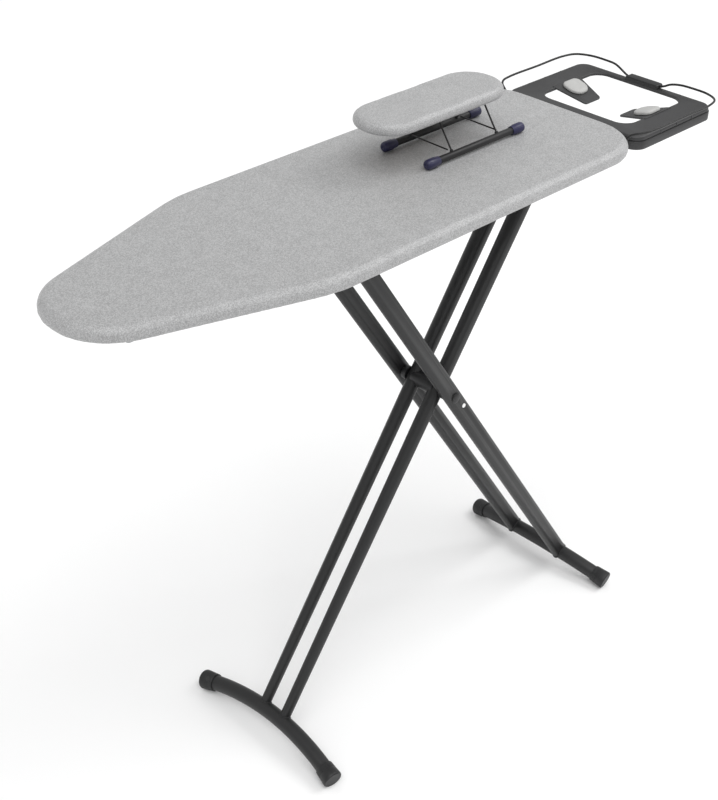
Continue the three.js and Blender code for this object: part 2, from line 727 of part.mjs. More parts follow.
const trayX0 = tailX + trayStart;
const trayX1 = trayX0 + trayLength;
const trayTopZ = boardHeight + trayTop;
const trayBottomZ = trayTopZ - trayDepth;
const tongueX = trayX0 + tongueFromStart;
const tongueBaseY = trayWidth / 2 - trayBandWidth;
const tongueSlope = Math.atan2(tongueDrop, tongueReach);
const armZ = trayTopZ - trayDeck - gap - armDiameter / 2;

const trayOutline = (inset) => {
  const radii = [trayOuterRadius, trayOuterRadius, trayInnerRadius, trayInnerRadius];
  return rectangle(trayX0, trayX1, -trayWidth / 2, trayWidth / 2, radii, inset);
};

const trayOpening = (inset) => {
  const radii = Array(4).fill(openingRadius);
  const x0 = trayX0 + trayInnerBar;
  return rectangle(x0, trayX1 - trayOuterBar, -tongueBaseY, tongueBaseY, radii, inset);
};

// A sloping tongue from a band towards the middle of the tray, lying on the line of the band's top face.
function placeOnTongue(geometry, side) {
  if (side > 0) geometry.rotateZ(Math.PI);
  return geometry.rotateX(side * tongueSlope).translate(tongueX, side * tongueBaseY, trayTopZ);
}

function tongue(side) {
  const run = Math.hypot(tongueReach, tongueDrop);
  const corners = [
    [-tongueBase / 2, -tongueBack], [tongueBase / 2, -tongueBack],
    [tongueTip / 2, run], [-tongueTip / 2, run],
  ].map(([x, y]) => new THREE.Vector2(x, y));
  const plan = roundedPoints(corners, [leastRadius, leastRadius, tongueTipRadius, tongueTipRadius], 4);
  return placeOnTongue(slab(plan, -tongueThickness, 0), side);
}

function restPad(side) {
  const corners = [
    [-padLength / 2, padPlay], [padLength / 2, padPlay],
    [padLength / 2, padPlay + padWidth], [-padLength / 2, padPlay + padWidth],
  ].map(([x, y]) => new THREE.Vector2(x, y));
  const plan = roundedPoints(corners, [padBaseRadius, padBaseRadius, padTipRadius, padTipRadius], 5);
  return placeOnTongue(pillow(plan, gap, padHeight, padEdgeRound), side);
}

function makeTray() {
  const ring = slab(trayOutline(0), trayBottomZ, trayTopZ, [trayOpening(0)]);
  const pocketTop = trayTopZ - trayDeck;
  const pocket = slab(trayOutline(trayWall), trayBottomZ - 1, pocketTop);
  const half = trayWidth / 2 - trayOuterRadius / 2;
  const skirtZ = trayTopZ - trayEndSkirt;
  const undercut = box(trayX1 - trayOuterRadius, trayX1 + 1, -half, half, trayBottomZ - 1, skirtZ);
  const tongues = bothSides.map(([, side]) => tongue(side));
  const armBores = bothSides.map(([, side]) => {
    const y = side * armFromMiddle;
    return rod('x', trayX0 - 1, trayX0 + trayInnerRadius, y, armZ, armDiameter / 2 + gap);
  });
  addTo(model, 'iron_tray', cut(join(cut(ring, pocket, undercut), ...tongues), ...armBores), trayPlastic);
  bothSides.forEach(([name, side]) => {
    addTo(model, `rest_pad_${name}`, restPad(side), padSilicone);
    const y = side * armFromMiddle;
    const arm = rod('x', tailX - armUnderBoard, tailX + armIntoTray, y, armZ, armDiameter / 2);
    addTo(model, `tray_arm_${name}`, arm, charcoal);
  });
}

const saddleX1 = tailX - tailRadius + saddlePastCorner;

function makeSaddles() {
  bothSides.forEach(([name, side]) => {
    const y = side * armFromMiddle;
    const bottom = armZ - armDiameter / 2 - saddleFloor;
    const half = saddleWidth / 2;
    const block = box(saddleX1 - saddleLength, saddleX1, y - half, y + half, bottom, underZ);
    const bore = rod('x', tailX - 2 * armUnderBoard, tailX, y, armZ, armDiameter / 2 + gap);
    addTo(model, `arm_saddle_${name}`, cut(block, bore), blackPlastic);
  });
}

// ---------------------------------------------------------------- wire rail and its clip

const railZ = boardHeight + railLevel;
const clipX = trayX1 - trayOuterBar / 2 - clipInset;
const clipZ = trayTopZ + gap + clipHeight / 2;

// Half of the rail, from under the board's tail round the tray to the clip. Its bends are drawn by eye
// as offsets from the tail, the rail's half width, its outer end and the clip.
function railHalf(side) {
  const y = (value) => side * value;
  const outer = tailX + railReach - railDiameter / 2;
  return [
    at(tailX - 100, y(armFromMiddle + 15), armZ), at(tailX - 20, y(armFromMiddle + 15), armZ),
    at(tailX - 4, y(armFromMiddle + 17), armZ + 5), at(tailX + 3, y(armFromMiddle + 22), armZ + 17),
    at(tailX + 8, y(railHalfWidth - 14), railZ - 4), at(tailX + 20, y(railHalfWidth - 4), railZ - 1),
    at(tailX + 44, y(railHalfWidth), railZ), at(tailX + 120, y(railHalfWidth), railZ),
    at(outer - 44, y(railHalfWidth), railZ), at(outer - 16, y(railHalfWidth - 9), railZ),
    at(outer - 2, y(railHalfWidth - 34), railZ), at(outer, y(railHalfWidth - 66), railZ),
    at(outer - 3, y(72), railZ), at(outer - 9, y(56), railZ - 2),
    at(clipX + 3, y(42), clipZ + 3), at(clipX, y(28), clipZ),
  ];
}

function makeRail() {
  const far = railHalf(1);
  const near = railHalf(-1).reverse();
  const curve = new THREE.CatmullRomCurve3([...far, at(clipX, 0, clipZ), ...near], false, 'centripetal');
  addTo(model, 'rail_wire', sweep(curve, railDiameter / 2, railSteps, railSides), blackWire);
  const half = clipLength / 2;
  const corners = rectangle(-half, half, -clipHeight / 2, clipHeight / 2, Array(4).fill(clipRadius));
  const block = slab(corners, -clipWidth / 2, clipWidth / 2);
  block.rotateX(Math.PI / 2).rotateZ(Math.PI / 2).translate(clipX + clipOutboard, 0, clipZ);
  const keepOut = sweep(curve, railDiameter / 2 + gap, railSteps, railSides);
  addTo(model, 'rail_clip', cut(block, keepOut), blackPlastic);
}

// ---------------------------------------------------------------- fasteners

// A screw up into each arm's saddle, its domed head under the block.
function makeSaddleScrews() {
  const bottom = armZ - armDiameter / 2 - saddleFloor;
  const radius = screwDiameter / 2;
  bothSides.forEach(([name, side]) => {
    const x = saddleX1 - saddleLength / 2;
    const y = side * armFromMiddle;
    const head = rod('z', bottom - gap - screwHeight, bottom - gap, x, y, 0.7 * radius, 16, radius);
    addTo(model, `saddle_screw_${name}`, head, zincSteel);
  });
}

// ---------------------------------------------------------------- sleeve board

const sleeveX = tailX - sleeveFromTail;
const sleeveTopZ = boardHeight + sleeveTop;
const sleeveBottomZ = sleeveTopZ - sleeveDrop;
const standZ = boardHeight + standCapDiameter / 2 + gap;
const wirePivotZ = sleeveBottomZ - wirePivotDrop;
const wireX = tailX - wireFromTail;
const standX = tailX - standTubeFromTail;

const sleeveOutline = (inset) => {
  const x0 = sleeveX - sleeveLength / 2;
  const y0 = sleeveAcross - sleeveWidth / 2;
  return rectangle(x0, x0 + sleeveLength, y0, y0 + sleeveWidth, Array(4).fill(sleeveRadius), inset);
};

function makeSleeveBoard() {
  const skin = pillow(sleeveOutline(0), sleeveBottomZ, sleeveTopZ, sleeveEdgeRound);
  const inside = slab(sleeveOutline(sleeveWall), sleeveBottomZ + sleeveWall, sleeveTopZ - sleeveWall);
  const mouth = slab(sleeveOutline(sleeveLip), sleeveBottomZ - 1, sleeveBottomZ + sleeveWall + 1);
  addTo(model, 'sleeve_cover', cut(skin, inside, mouth), coverCloth);
  const foamTop = sleeveTopZ - sleeveWall - gap;
  const foamBottom = foamTop - sleeveFoam;
  addTo(model, 'sleeve_pad', slab(sleeveOutline(sleeveWall + gap), foamBottom, foamTop), foam);
  const plyTop = foamBottom - gap;
  addTo(model, 'sleeve_deck', slab(sleeveOutline(sleeveWall + gap), plyTop - sleevePly, plyTop), plywood);
}

const plyBottomZ = sleeveTopZ - sleeveWall - 2 * gap - sleeveFoam - sleevePly;

// Saddle clips screwed under the plywood, each holding both pivot bars.
function makeFrameClips() {
  bothEnds.forEach(([name, end]) => {
    const x = wireX + end * (wireSpan / 2 - frameClipInset);
    const x0 = x - frameClipHalfLength;
    const x1 = x + frameClipHalfLength;
    const half = wirePivotPitch / 2 + wireDiameter / 2 + frameClipEdge;
    const bottom = wirePivotZ - wireDiameter / 2 - frameClipFloor;
    const block = box(x0, x1, sleeveAcross - half, sleeveAcross + half, bottom, plyBottomZ - gap);
    const bores = bothSides.map(([, side]) => {
      const radius = wireDiameter / 2 + runClearance;
      return rod('x', x0 - 1, x1 + 1, wirePivotY(side), wirePivotZ, radius, 12);
    });
    addTo(model, `frame_clip_${name}`, cut(block, ...bores), blackPlastic);
  });
}

const standY = (side) => sleeveAcross - standInboard + (side * standPitch) / 2;
const wirePivotY = (side) => sleeveAcross + (side * wirePivotPitch) / 2;

function framePath(side) {
  const x0 = wireX - wireSpan / 2;
  const x1 = wireX + wireSpan / 2;
  return bentPath([
    at(x0, standY(side), standZ), at(x0, wirePivotY(side), wirePivotZ),
    at(x1, wirePivotY(side), wirePivotZ), at(x1, standY(side), standZ),
  ], wireBend);
}

function makeStandSide(name, side) {
  const wire = sweep(framePath(side), wireDiameter / 2, wireSteps, wireSides);
  addTo(model, `${name}_wire_frame`, wire, blackWire);
  const x0 = standX - standTubeLength / 2;
  const x1 = standX + standTubeLength / 2;
  const radius = standTubeDiameter / 2;
  const outer = rod('x', x0, x1, standY(side), standZ, radius, 20);
  const bore = rod('x', x0 - 1, x1 + 1, standY(side), standZ, radius - standTubeWall, 20);
  const keepOut = sweep(framePath(side), wireDiameter / 2 + gap, wireSteps, wireSides);
  addTo(model, `${name}_stand_tube`, cut(outer, bore, keepOut), blackPlastic);
  bothEnds.forEach(([endName, end]) => {
    addTo(model, `${name}_stand_cap_${endName}`, standCap(side, end), navyPlastic);
  });
}

function standCap(side, end) {
  const inner = standTubeDiameter / 2 + gap;
  const outer = standCapDiameter / 2;
  const profile = [
    [inner, -standCapLength], [outer - 1.5, -standCapLength], [outer, -standCapLength + 4], [outer, 0],
    [outer * 0.8, 3.4], [outer * 0.4, 4.8], [0, 5.2], [0, gap], [inner, gap], [inner, -standCapLength],
  ].map(([radius, length]) => new THREE.Vector2(radius, length));
  const cap = new THREE.LatheGeometry(profile, 20).rotateZ(-end * (Math.PI / 2));
  return cap.translate(standX + (end * standTubeLength) / 2, standY(side), standZ);
}

// Brace wires lie across from the near frame to the far one, just outside the frame legs.
function makeBraces() {
  const z = standZ + braceRise;
  bothEnds.forEach(([name, end]) => {
    const x = wireX + end * (wireSpan / 2 + braceOutboard);
    const brace = rod('y', standY(-1) + braceInset, standY(1) - braceInset, x, z, braceDiameter / 2, 8);
    addTo(model, `brace_wire_${name}`, brace, blackWire);
  });
}

// ---------------------------------------------------------------- the whole object

makeDeck();
makeCover();
makeSlideRails();
makeHingeBrackets();
makeRack();
makeLever();
makeLeverLugs();
makeNarrowLeg();
makeWideLeg();
makeTray();
makeSaddles();
makeRail();
makeSaddleScrews();
makeSleeveBoard();
makeFrameClips();
makeStandSide('near', -1);
makeStandSide('far', 1);
makeBraces();

export default model;
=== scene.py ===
"""Looks of a folding ironing board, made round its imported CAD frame.

Metres, +Z up. +X runs from the pointed nose to the iron tray, and the near side is -Y.
"""

import json
import logging
import math
from dataclasses import dataclass, field
from enum import Enum
from typing import Any, Iterable, Mapping, Sequence

import bmesh
import bpy
import numpy as np
from mathutils import Matrix, Vector
from mathutils.kdtree import KDTree


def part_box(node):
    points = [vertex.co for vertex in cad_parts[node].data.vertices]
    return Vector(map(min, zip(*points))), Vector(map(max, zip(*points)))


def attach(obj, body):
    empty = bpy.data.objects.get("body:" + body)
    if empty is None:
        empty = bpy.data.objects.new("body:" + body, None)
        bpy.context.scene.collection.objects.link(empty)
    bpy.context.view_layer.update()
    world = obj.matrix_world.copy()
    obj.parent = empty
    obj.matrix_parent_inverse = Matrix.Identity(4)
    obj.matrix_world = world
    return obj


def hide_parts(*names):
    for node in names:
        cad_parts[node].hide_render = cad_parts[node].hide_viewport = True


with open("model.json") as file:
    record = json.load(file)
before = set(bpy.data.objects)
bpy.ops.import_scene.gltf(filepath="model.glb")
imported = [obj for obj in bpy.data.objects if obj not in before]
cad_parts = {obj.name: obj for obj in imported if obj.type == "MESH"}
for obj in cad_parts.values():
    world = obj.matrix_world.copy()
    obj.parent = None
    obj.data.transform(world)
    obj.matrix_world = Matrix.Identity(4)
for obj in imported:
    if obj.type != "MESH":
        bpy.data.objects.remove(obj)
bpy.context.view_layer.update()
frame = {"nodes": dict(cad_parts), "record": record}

LOG = logging.getLogger("ironing_board")
MM = 0.001

Colour = tuple[float, float, float]
Profile = list[tuple[float, float]]


class Side(Enum):
    """A long side of the board, by the sign of its Y."""

    NEAR = -1
    FAR = 1

    @property
    def word(self) -> str:
        """The side's word in node names."""
        return self.name.lower()


class End(Enum):
    """An end of the board, by the sign of its X."""

    NOSE = -1
    TAIL = 1

    @property
    def word(self) -> str:
        """The end's word in node names."""
        return self.name.lower()


class Body(Enum):
    """A moving body of the CAD frame."""

    BOARD = "board"
    NARROW_LEG = "narrow_leg"
    WIDE_LEG = "wide_leg"
    LEVER = "release_lever"
    SLEEVE = "sleeve_board"
    NEAR_STAND = "near_stand"
    FAR_STAND = "far_stand"
    BRACES = "stand_braces"


# ---------------------------------------------------------------- node trees


class Signal:
    """One output socket of a node tree, with the operators that expressions on it need."""

    def __init__(self, tree: "NodeTree", socket: bpy.types.NodeSocket) -> None:
        """Wraps a socket.

        Args:
            tree: The builder that owns the socket's tree.
            socket: The output socket.
        """
        self.tree = tree
        self.socket = socket

    def maths(self, operation: str, *others: "Signal | float") -> "Signal":
        """Adds a Math node that starts with this signal.

        Args:
            operation: The Math node's operation.
            others: Its other operands.

        Returns:
            The node's result.
        """
        sockets = dict(enumerate((self, *others)))
        return self.tree.node("ShaderNodeMath", sockets, operation=operation)

    def __add__(self, other: "Signal | float") -> "Signal":
        """This plus other."""
        return self.maths("ADD", other)

    __radd__ = __add__

    def __mul__(self, other: "Signal | float") -> "Signal":
        """This times other."""
        return self.maths("MULTIPLY", other)

    __rmul__ = __mul__

    def __sub__(self, other: "Signal | float") -> "Signal":
        """This minus other."""
        return self.maths("SUBTRACT", other)

    def __rsub__(self, other: float) -> "Signal":
        """Other minus this."""
        return self.tree.node("ShaderNodeMath", {0: other, 1: self}, operation="SUBTRACT")

    def __truediv__(self, other: "Signal | float") -> "Signal":
        """This divided by other."""
        return self.maths("DIVIDE", other)

    def sine(self) -> "Signal":
        """The sine of this, in radians."""
        return self.maths("SINE")

    def band(self, low: float, high: float) -> "Signal":
        """A smooth step of this from 0 at low to 1 at high."""
        sockets = {"Value": self, "From Min": low, "From Max": high}
        return self.tree.node("ShaderNodeMapRange", sockets, interpolation_type="SMOOTHSTEP")


class NodeTree:
    """A node tree and the one method that adds nodes to it."""

    def __init__(self, tree: bpy.types.NodeTree) -> None:
        """Wraps a tree that is empty or starts with nodes of its own."""
        self.tree = tree

    def node(
        self,
        kind: str,
        sockets: Mapping[str | int, Any] | None = None,
        out: str | int = 0,
        stops: Sequence[tuple[float, Colour]] = (),
        **settings: Any,
    ) -> Signal:
        """Adds one node.

        Args:
            kind: The node's type.
            sockets: Values or signals for its inputs, by name or index.
            out: The output that the result stands for.
            stops: Places and colours of a colour ramp's stops.
            settings: Properties of the node, set before its sockets.

        Returns:
            The chosen output as a signal.
        """
        made = self.tree.nodes.new(kind)
        for name, value in settings.items():
            setattr(made, name, value)
        for index, (place, colour) in enumerate(stops):
            elements = made.color_ramp.elements
            stop = elements[index] if index < len(elements) else elements.new(place)
            stop.position = place
            stop.color = (*colour, 1.0)
        for key, value in (sockets or {}).items():
            if isinstance(value, Signal):
                self.tree.links.new(value.socket, made.inputs[key])
            else:
                made.inputs[key].default_value = value
        return Signal(self, made.outputs[out] if len(made.outputs) else None)


class Shader(NodeTree):
    """A material's tree with the textures that the finishes share."""

    def __init__(self, name: str) -> None:
        """Starts an empty material.

        Args:
            name: The material's name.
        """
        self.material = bpy.data.materials.new(name)
        self.material.use_nodes = True
        super().__init__(self.material.node_tree)
        self.tree.nodes.clear()

    def place(self) -> Signal:
        """Object coordinates, in metres."""
        return self.node("ShaderNodeTexCoord", out="Object")

    def axes(self, place: Signal) -> tuple[Signal, Signal, Signal]:
        """The X, Y and Z of a place."""
        split = place.tree.node("ShaderNodeSeparateXYZ", {0: place}).socket.node
        return tuple(Signal(self, split.outputs[axis]) for axis in range(3))

    def noise(self, place: Signal, scale: float, detail: float = 2.0) -> Signal:
        """Noise from 0 to 1.

        Args:
            place: Where it is read.
            scale: Blotches per metre.
            detail: Finer layers.

        Returns:
            The noise.
        """
        return self.node("ShaderNodeTexNoise", {"Vector": place, "Scale": scale, "Detail": detail})

    def stretched(self, place: Signal, scale: Colour) -> Signal:
        """A place scaled by its own amount along each axis."""
        return self.node("ShaderNodeMapping", {"Vector": place, "Scale": scale})

    def blend(self, share: Signal, first: Colour | Signal, second: Colour | Signal) -> Signal:
        """A colour between two colours.

        Args:
            share: 0 for the first, 1 for the second.
            first: A colour.
            second: Another colour.

        Returns:
            The mixed colour.
        """
        ends = [(*c, 1.0) if isinstance(c, tuple) else c for c in (first, second)]
        return self.node("ShaderNodeMix", {0: share, 6: ends[0], 7: ends[1]}, out=2, data_type="RGBA")

    def relief(self, height: Signal, depth: float) -> Signal:
        """A bumped normal.

        Args:
            height: The height, from 0 to 1.
            depth: What 1 stands for, in metres.

        Returns:
            The normal.
        """
        return self.node("ShaderNodeBump", {"Height": height, "Distance": depth, "Strength": 1.0})

    def finish(self, sockets: Mapping[str, Any]) -> bpy.types.Material:
        """Closes the tree with a Principled shader.

        Args:
            sockets: Values and signals of the shader.

        Returns:
            The material.
        """
        surface = self.node("ShaderNodeBsdfPrincipled", sockets)
        self.node("ShaderNodeOutputMaterial", {"Surface": surface})
        return self.material


def tint(colour: Colour, factor: float) -> Colour:
    """A colour made lighter or darker by a factor."""
    return tuple(min(1.0, part * factor) for part in colour)


# ---------------------------------------------------------------- finishes


@dataclass(frozen=True)
class Finish:
    """What a surface is made of and how it looks.

    Each kind gives its own colour, roughness and relief over the surface, and the rest are plain numbers.
    """

    slot: str
    colour: Colour
    roughness: float = 0.5
    metallic: float = 0.0

    def surface(self, shader: Shader) -> dict[str, Any]:
        """Values and signals of the Principled shader."""
        raise NotImplementedError

    def material(self) -> bpy.types.Material:
        """The finish's material, made once."""
        name = f"{self.slot}_{type(self).__name__}"
        found = bpy.data.materials.get(name)
        if found:
            return found
        shader = Shader(name)
        return shader.finish({"Metallic": self.metallic, **self.surface(shader)})


@dataclass(frozen=True)
class CoatedCotton(Finish):
    """Silver-grey coated cotton: a fine weave, a mottled grain and a satin sheen."""

    thread: float = 0.9 * MM
    grain: float = 620.0

    def surface(self, shader: Shader) -> dict[str, Any]:
        """A speckled colour over a woven relief."""
        place = shader.place()
        grain = shader.noise(place, self.grain, 3.0)
        mottle = shader.noise(place, 38.0, 2.0)
        threads = [(part * (2 * math.pi / self.thread)).sine() for part in shader.axes(place)]
        weave = (threads[0] + threads[1] + threads[2]) * 0.166 + 0.5
        speck = (grain - 0.5) * 3.4 + (mottle - 0.5) * 0.4 + 0.5
        colour = shader.blend(speck.band(0.0, 1.0), tint(self.colour, 0.76), tint(self.colour, 1.24))
        height = weave * 0.35 + grain * 0.65
        return {
            "Base Color": colour,
            "Roughness": (grain - 0.5) * 0.22 + self.roughness,
            "Normal": shader.relief(height, 0.22 * MM),
            "Sheen Weight": 0.18,
            "Sheen Roughness": 0.45,
        }


@dataclass(frozen=True)
class PowderCoat(Finish):
    """Satin powder coat with a faint orange peel and rare pale specks."""

    def surface(self, shader: Shader) -> dict[str, Any]:
        """A nearly even colour over a fine peel."""
        place = shader.place()
        peel = shader.noise(place, 850.0, 2.0)
        cloud = shader.noise(place, 14.0, 3.0)
        specks = shader.noise(place, 1500.0, 0.0).band(0.72, 0.8)
        even = shader.blend(cloud, tint(self.colour, 0.84), tint(self.colour, 1.16))
        return {
            "Base Color": shader.blend(specks * 0.35, even, tint(self.colour, 3.0)),
            "Roughness": (cloud - 0.5) * 0.16 + (peel - 0.5) * 0.1 + self.roughness,
            "Normal": shader.relief(peel, 0.07 * MM),
            "Coat Weight": 0.08,
            "Coat Roughness": 0.35,
        }


@dataclass(frozen=True)
class ZincPlate(Finish):
    """Zinc-plated sheet steel with drawn lines and cloudy spangle."""

    def surface(self, shader: Shader) -> dict[str, Any]:
        """Drawn lines along X under soft clouds."""
        place = shader.place()
        lines = shader.noise(shader.stretched(place, (40.0, 1600.0, 1600.0)), 1.0, 2.0)
        cloud = shader.noise(place, 60.0, 3.0)
        share = lines * 0.35 + cloud * 0.65
        return {
            "Base Color": shader.blend(share, tint(self.colour, 0.72), tint(self.colour, 1.25)),
            "Roughness": (share - 0.5) * 0.35 + self.roughness,
            "Normal": shader.relief(lines, 0.03 * MM),
        }


@dataclass(frozen=True)
class MouldedPlastic(Finish):
    """Injection-moulded plastic with a fine spark-eroded texture and handled edges."""

    texture: float = 1300.0
    depth: float = 0.05 * MM

    def surface(self, shader: Shader) -> dict[str, Any]:
        """An even colour over a fine texture, a little paler where the surface is worn."""
        place = shader.place()
        pits = shader.noise(place, self.texture, 2.0)
        rub = shader.noise(place, 26.0, 4.0)
        worn = rub.band(0.35, 0.75)
        return {
            "Base Color": shader.blend(worn, tint(self.colour, 0.88), tint(self.colour, 1.22)),
            "Roughness": (rub - 0.5) * 0.2 + (pits - 0.5) * 0.12 + self.roughness,
            "Normal": shader.relief(pits, self.depth),
        }


@dataclass(frozen=True)
class Silicone(Finish):
    """Pale heat-proof silicone, slightly dusty."""

    def surface(self, shader: Shader) -> dict[str, Any]:
        """A soft colour with faint dust."""
        place = shader.place()
        dust = shader.noise(place, 90.0, 4.0)
        fine = shader.noise(place, 1100.0, 1.0)
        return {
            "Base Color": shader.blend(dust, tint(self.colour, 0.9), tint(self.colour, 1.08)),
            "Roughness": (dust - 0.5) * 0.25 + self.roughness,
            "Normal": shader.relief(fine, 0.04 * MM),
            "Subsurface Weight": 0.08,
            "Subsurface Radius": (2.0 * MM, 2.0 * MM, 2.0 * MM),
            "Subsurface Scale": 1.0,
        }


@dataclass(frozen=True)
class FeltFoam(Finish):
    """Felted foam with open cells."""

    def surface(self, shader: Shader) -> dict[str, Any]:
        """Cells as pits in a pale body, their darkness painted shade."""
        place = shader.place()
        cells = shader.node("ShaderNodeTexVoronoi", {"Vector": place, "Scale": 520.0})
        tone = shader.noise(place, 45.0, 3.0)
        pits = cells.band(0.1, 0.55)
        pale = shader.blend(tone, tint(self.colour, 0.92), tint(self.colour, 1.06))
        return {
            # Base colour: darker in the pits, as painted shade in the open cells.
            "Base Color": shader.blend(pits, tint(self.colour, 0.62), pale),
            "Roughness": pits * 0.05 + self.roughness,
            "Normal": shader.relief(pits, 0.3 * MM),
        }


@dataclass(frozen=True)
class Plywood(Finish):
    """Birch plywood: long grain on its faces and plies on its edge."""

    ply: float = 1.5 * MM

    def surface(self, shader: Shader) -> dict[str, Any]:
        """Grain stretched along X, crossed by plies stacked in Z."""
        place = shader.place()
        grain = shader.noise(shader.stretched(place, (7.0, 150.0, 150.0)), 1.0, 5.0)
        plies = (shader.axes(place)[2] * (math.pi / self.ply)).sine().band(-0.3, 0.3)
        share = grain * 0.7 + plies * 0.3
        return {
            "Base Color": shader.blend(share.band(0.2, 0.9), tint(self.colour, 0.6), tint(self.colour, 1.3)),
            "Roughness": grain * 0.15 + self.roughness,
            "Normal": shader.relief(grain, 0.1 * MM),
        }


@dataclass(frozen=True)
class WovenElastic(Finish):
    """White woven elastic."""

    rib: float = 1.1 * MM

    def surface(self, shader: Shader) -> dict[str, Any]:
        """Ribs that cross the strand, with painted shade in the grooves between them."""
        place = shader.place()
        x, y, _ = shader.axes(place)
        ribs = ((x + y) * (2 * math.pi / self.rib)).sine() * 0.5 + 0.5
        fuzz = shader.noise(place, 900.0, 2.0)
        return {
            # Base colour: painted shade in the grooves between ribs, mixed with random fuzz tone.
            "Base Color": shader.blend(ribs * fuzz, tint(self.colour, 0.7), tint(self.colour, 1.1)),
            "Roughness": fuzz * 0.1 + self.roughness,
            "Normal": shader.relief(ribs, 0.15 * MM),
        }


@dataclass(frozen=True)
class SweepPaper(Finish):
    """Plain pale studio floor."""

    def surface(self, shader: Shader) -> dict[str, Any]:
        """An even paper white with a trace of tone."""
        tone = shader.noise(shader.place(), 1.5, 2.0)
        return {
            "Base Color": shader.blend(tone, tint(self.colour, 0.99), self.colour),
            "Roughness": self.roughness,
        }


COVER = CoatedCotton("cover_cloth", (0.378, 0.379, 0.381), 0.5, 0.12)
FOAM = FeltFoam("foam", (0.80, 0.75, 0.64), 0.9)
CHARCOAL = PowderCoat("charcoal_steel", (0.0115, 0.0117, 0.0121), 0.47, 0.1)
ZINC = ZincPlate("zinc_steel", (0.36, 0.37, 0.38), 0.38, 0.9)
BLACK = MouldedPlastic("black_plastic", (0.0095, 0.0098, 0.0105), 0.5)
TRAY = MouldedPlastic("tray_plastic", (0.031, 0.031, 0.032), 0.48, texture=1000.0, depth=0.07 * MM)
PAD = Silicone("pad_silicone", (0.44, 0.44, 0.43), 0.55)
WIRE = PowderCoat("black_wire", (0.003, 0.003, 0.0033), 0.42)
NAVY = MouldedPlastic("navy_plastic", (0.018, 0.017, 0.062), 0.42, texture=900.0)
NYLON = MouldedPlastic("white_nylon", (0.86, 0.86, 0.84), 0.4)
PLY = Plywood("plywood", (0.55, 0.40, 0.24), 0.6)
ELASTIC = WovenElastic("elastic", (0.65, 0.65, 0.66), 0.85)
PAPER = SweepPaper("floor", (0.96, 0.96, 0.96), 0.9)


# ---------------------------------------------------------------- meshes


def new_object(
    name: str,
    vertices: Iterable[Any],
    faces: Iterable[Sequence[int]] = (),
    edges: Any = (),
) -> bpy.types.Object:
    """A new object at the origin with its place in its mesh.

    Args:
        name: The object's name.
        vertices: Points in metres.
        faces: Vertex indices of each face.
        edges: Vertex indices of each loose edge.

    Returns:
        The object, linked to the scene.
    """
    mesh = bpy.data.meshes.new(name)
    mesh.from_pydata([tuple(map(float, v)) for v in vertices], list(edges), [list(f) for f in faces])
    mesh.validate()
    made = bpy.data.objects.new(name, mesh)
    bpy.context.scene.collection.objects.link(made)
    return made


def recalculate(piece: bpy.types.Object) -> None:
    """Merges doubled points and turns every face of a closed piece outwards."""
    work = bmesh.new()
    work.from_mesh(piece.data)
    bmesh.ops.remove_doubles(work, verts=work.verts, dist=1e-6)
    bmesh.ops.recalc_face_normals(work, faces=work.faces)
    if work.calc_volume(signed=True) < 0:
        bmesh.ops.reverse_faces(work, faces=work.faces)
    work.to_mesh(piece.data)
    work.free()


def bake_modifiers(piece: bpy.types.Object) -> None:
    """Turns a piece with its modifiers into a plain mesh."""
    bpy.context.view_layer.update()
    depsgraph = bpy.context.evaluated_depsgraph_get()
    result = bpy.data.meshes.new_from_object(piece.evaluated_get(depsgraph), depsgraph=depsgraph)
    piece.modifiers.clear()
    piece.data = result


def boolean(piece: bpy.types.Object, operation: str, *tools: bpy.types.Object) -> None:
    """Cuts tools out of a piece, or joins them to it, and removes them.

    Args:
        piece: The closed piece that is changed.
        operation: DIFFERENCE or UNION.
        tools: Closed tools.
    """
    for tool in tools:
        step = piece.modifiers.new("boolean", "BOOLEAN")
        step.operation = operation
        step.solver = "MANIFOLD"
        step.object = tool
        bake_modifiers(piece)
        bpy.data.objects.remove(tool, do_unlink=True)


def dress(
    piece: bpy.types.Object,
    finish: Finish,
    body: Body | str,
    replaces: Sequence[str] = (),
    crease: float = 35.0,
) -> bpy.types.Object:
    """Gives a finished mesh its material, shading and body.

    Args:
        piece: The piece, at the origin.
        finish: Its finish.
        body: The body it rides on.
        replaces: CAD nodes that it stands for.
        crease: Edges sharper than this, in degrees, stay sharp.

    Returns:
        The piece.
    """
    piece.data.materials.clear()
    piece.data.materials.append(finish.material())
    for polygon in piece.data.polygons:
        polygon.material_index = 0
    piece.data.shade_smooth()
    piece.data.set_sharp_from_angle(angle=math.radians(crease))
    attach(piece, body.value if isinstance(body, Body) else body)
    if replaces:
        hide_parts(*replaces)
    LOG.info("%s: %d faces", piece.name, len(piece.data.polygons))
    return piece


def loft(
    name: str,
    rings: Sequence[np.ndarray],
    capped: bool = True,
    closed: bool = False,
) -> bpy.types.Object:
    """A skin over rings of equal length.

    Args:
        name: The object's name.
        rings: Rings of points, each counter-clockwise.
        capped: Whether the first and last rings are filled.
        closed: Whether the last ring joins the first.

    Returns:
        The closed object.
    """
    count = len(rings[0])
    vertices = np.concatenate(rings)
    faces = []
    spans = len(rings) if closed else len(rings) - 1
    for row in range(spans):
        here, there = row * count, ((row + 1) % len(rings)) * count
        for k in range(count):
            following = (k + 1) % count
            faces.append((here + k, here + following, there + following, there + k))
    if capped and not closed:
        faces.append(tuple(range(count - 1, -1, -1)))
        faces.append(tuple(range((len(rings) - 1) * count, len(rings) * count)))
    made = new_object(name, vertices, faces)
    recalculate(made)
    return made


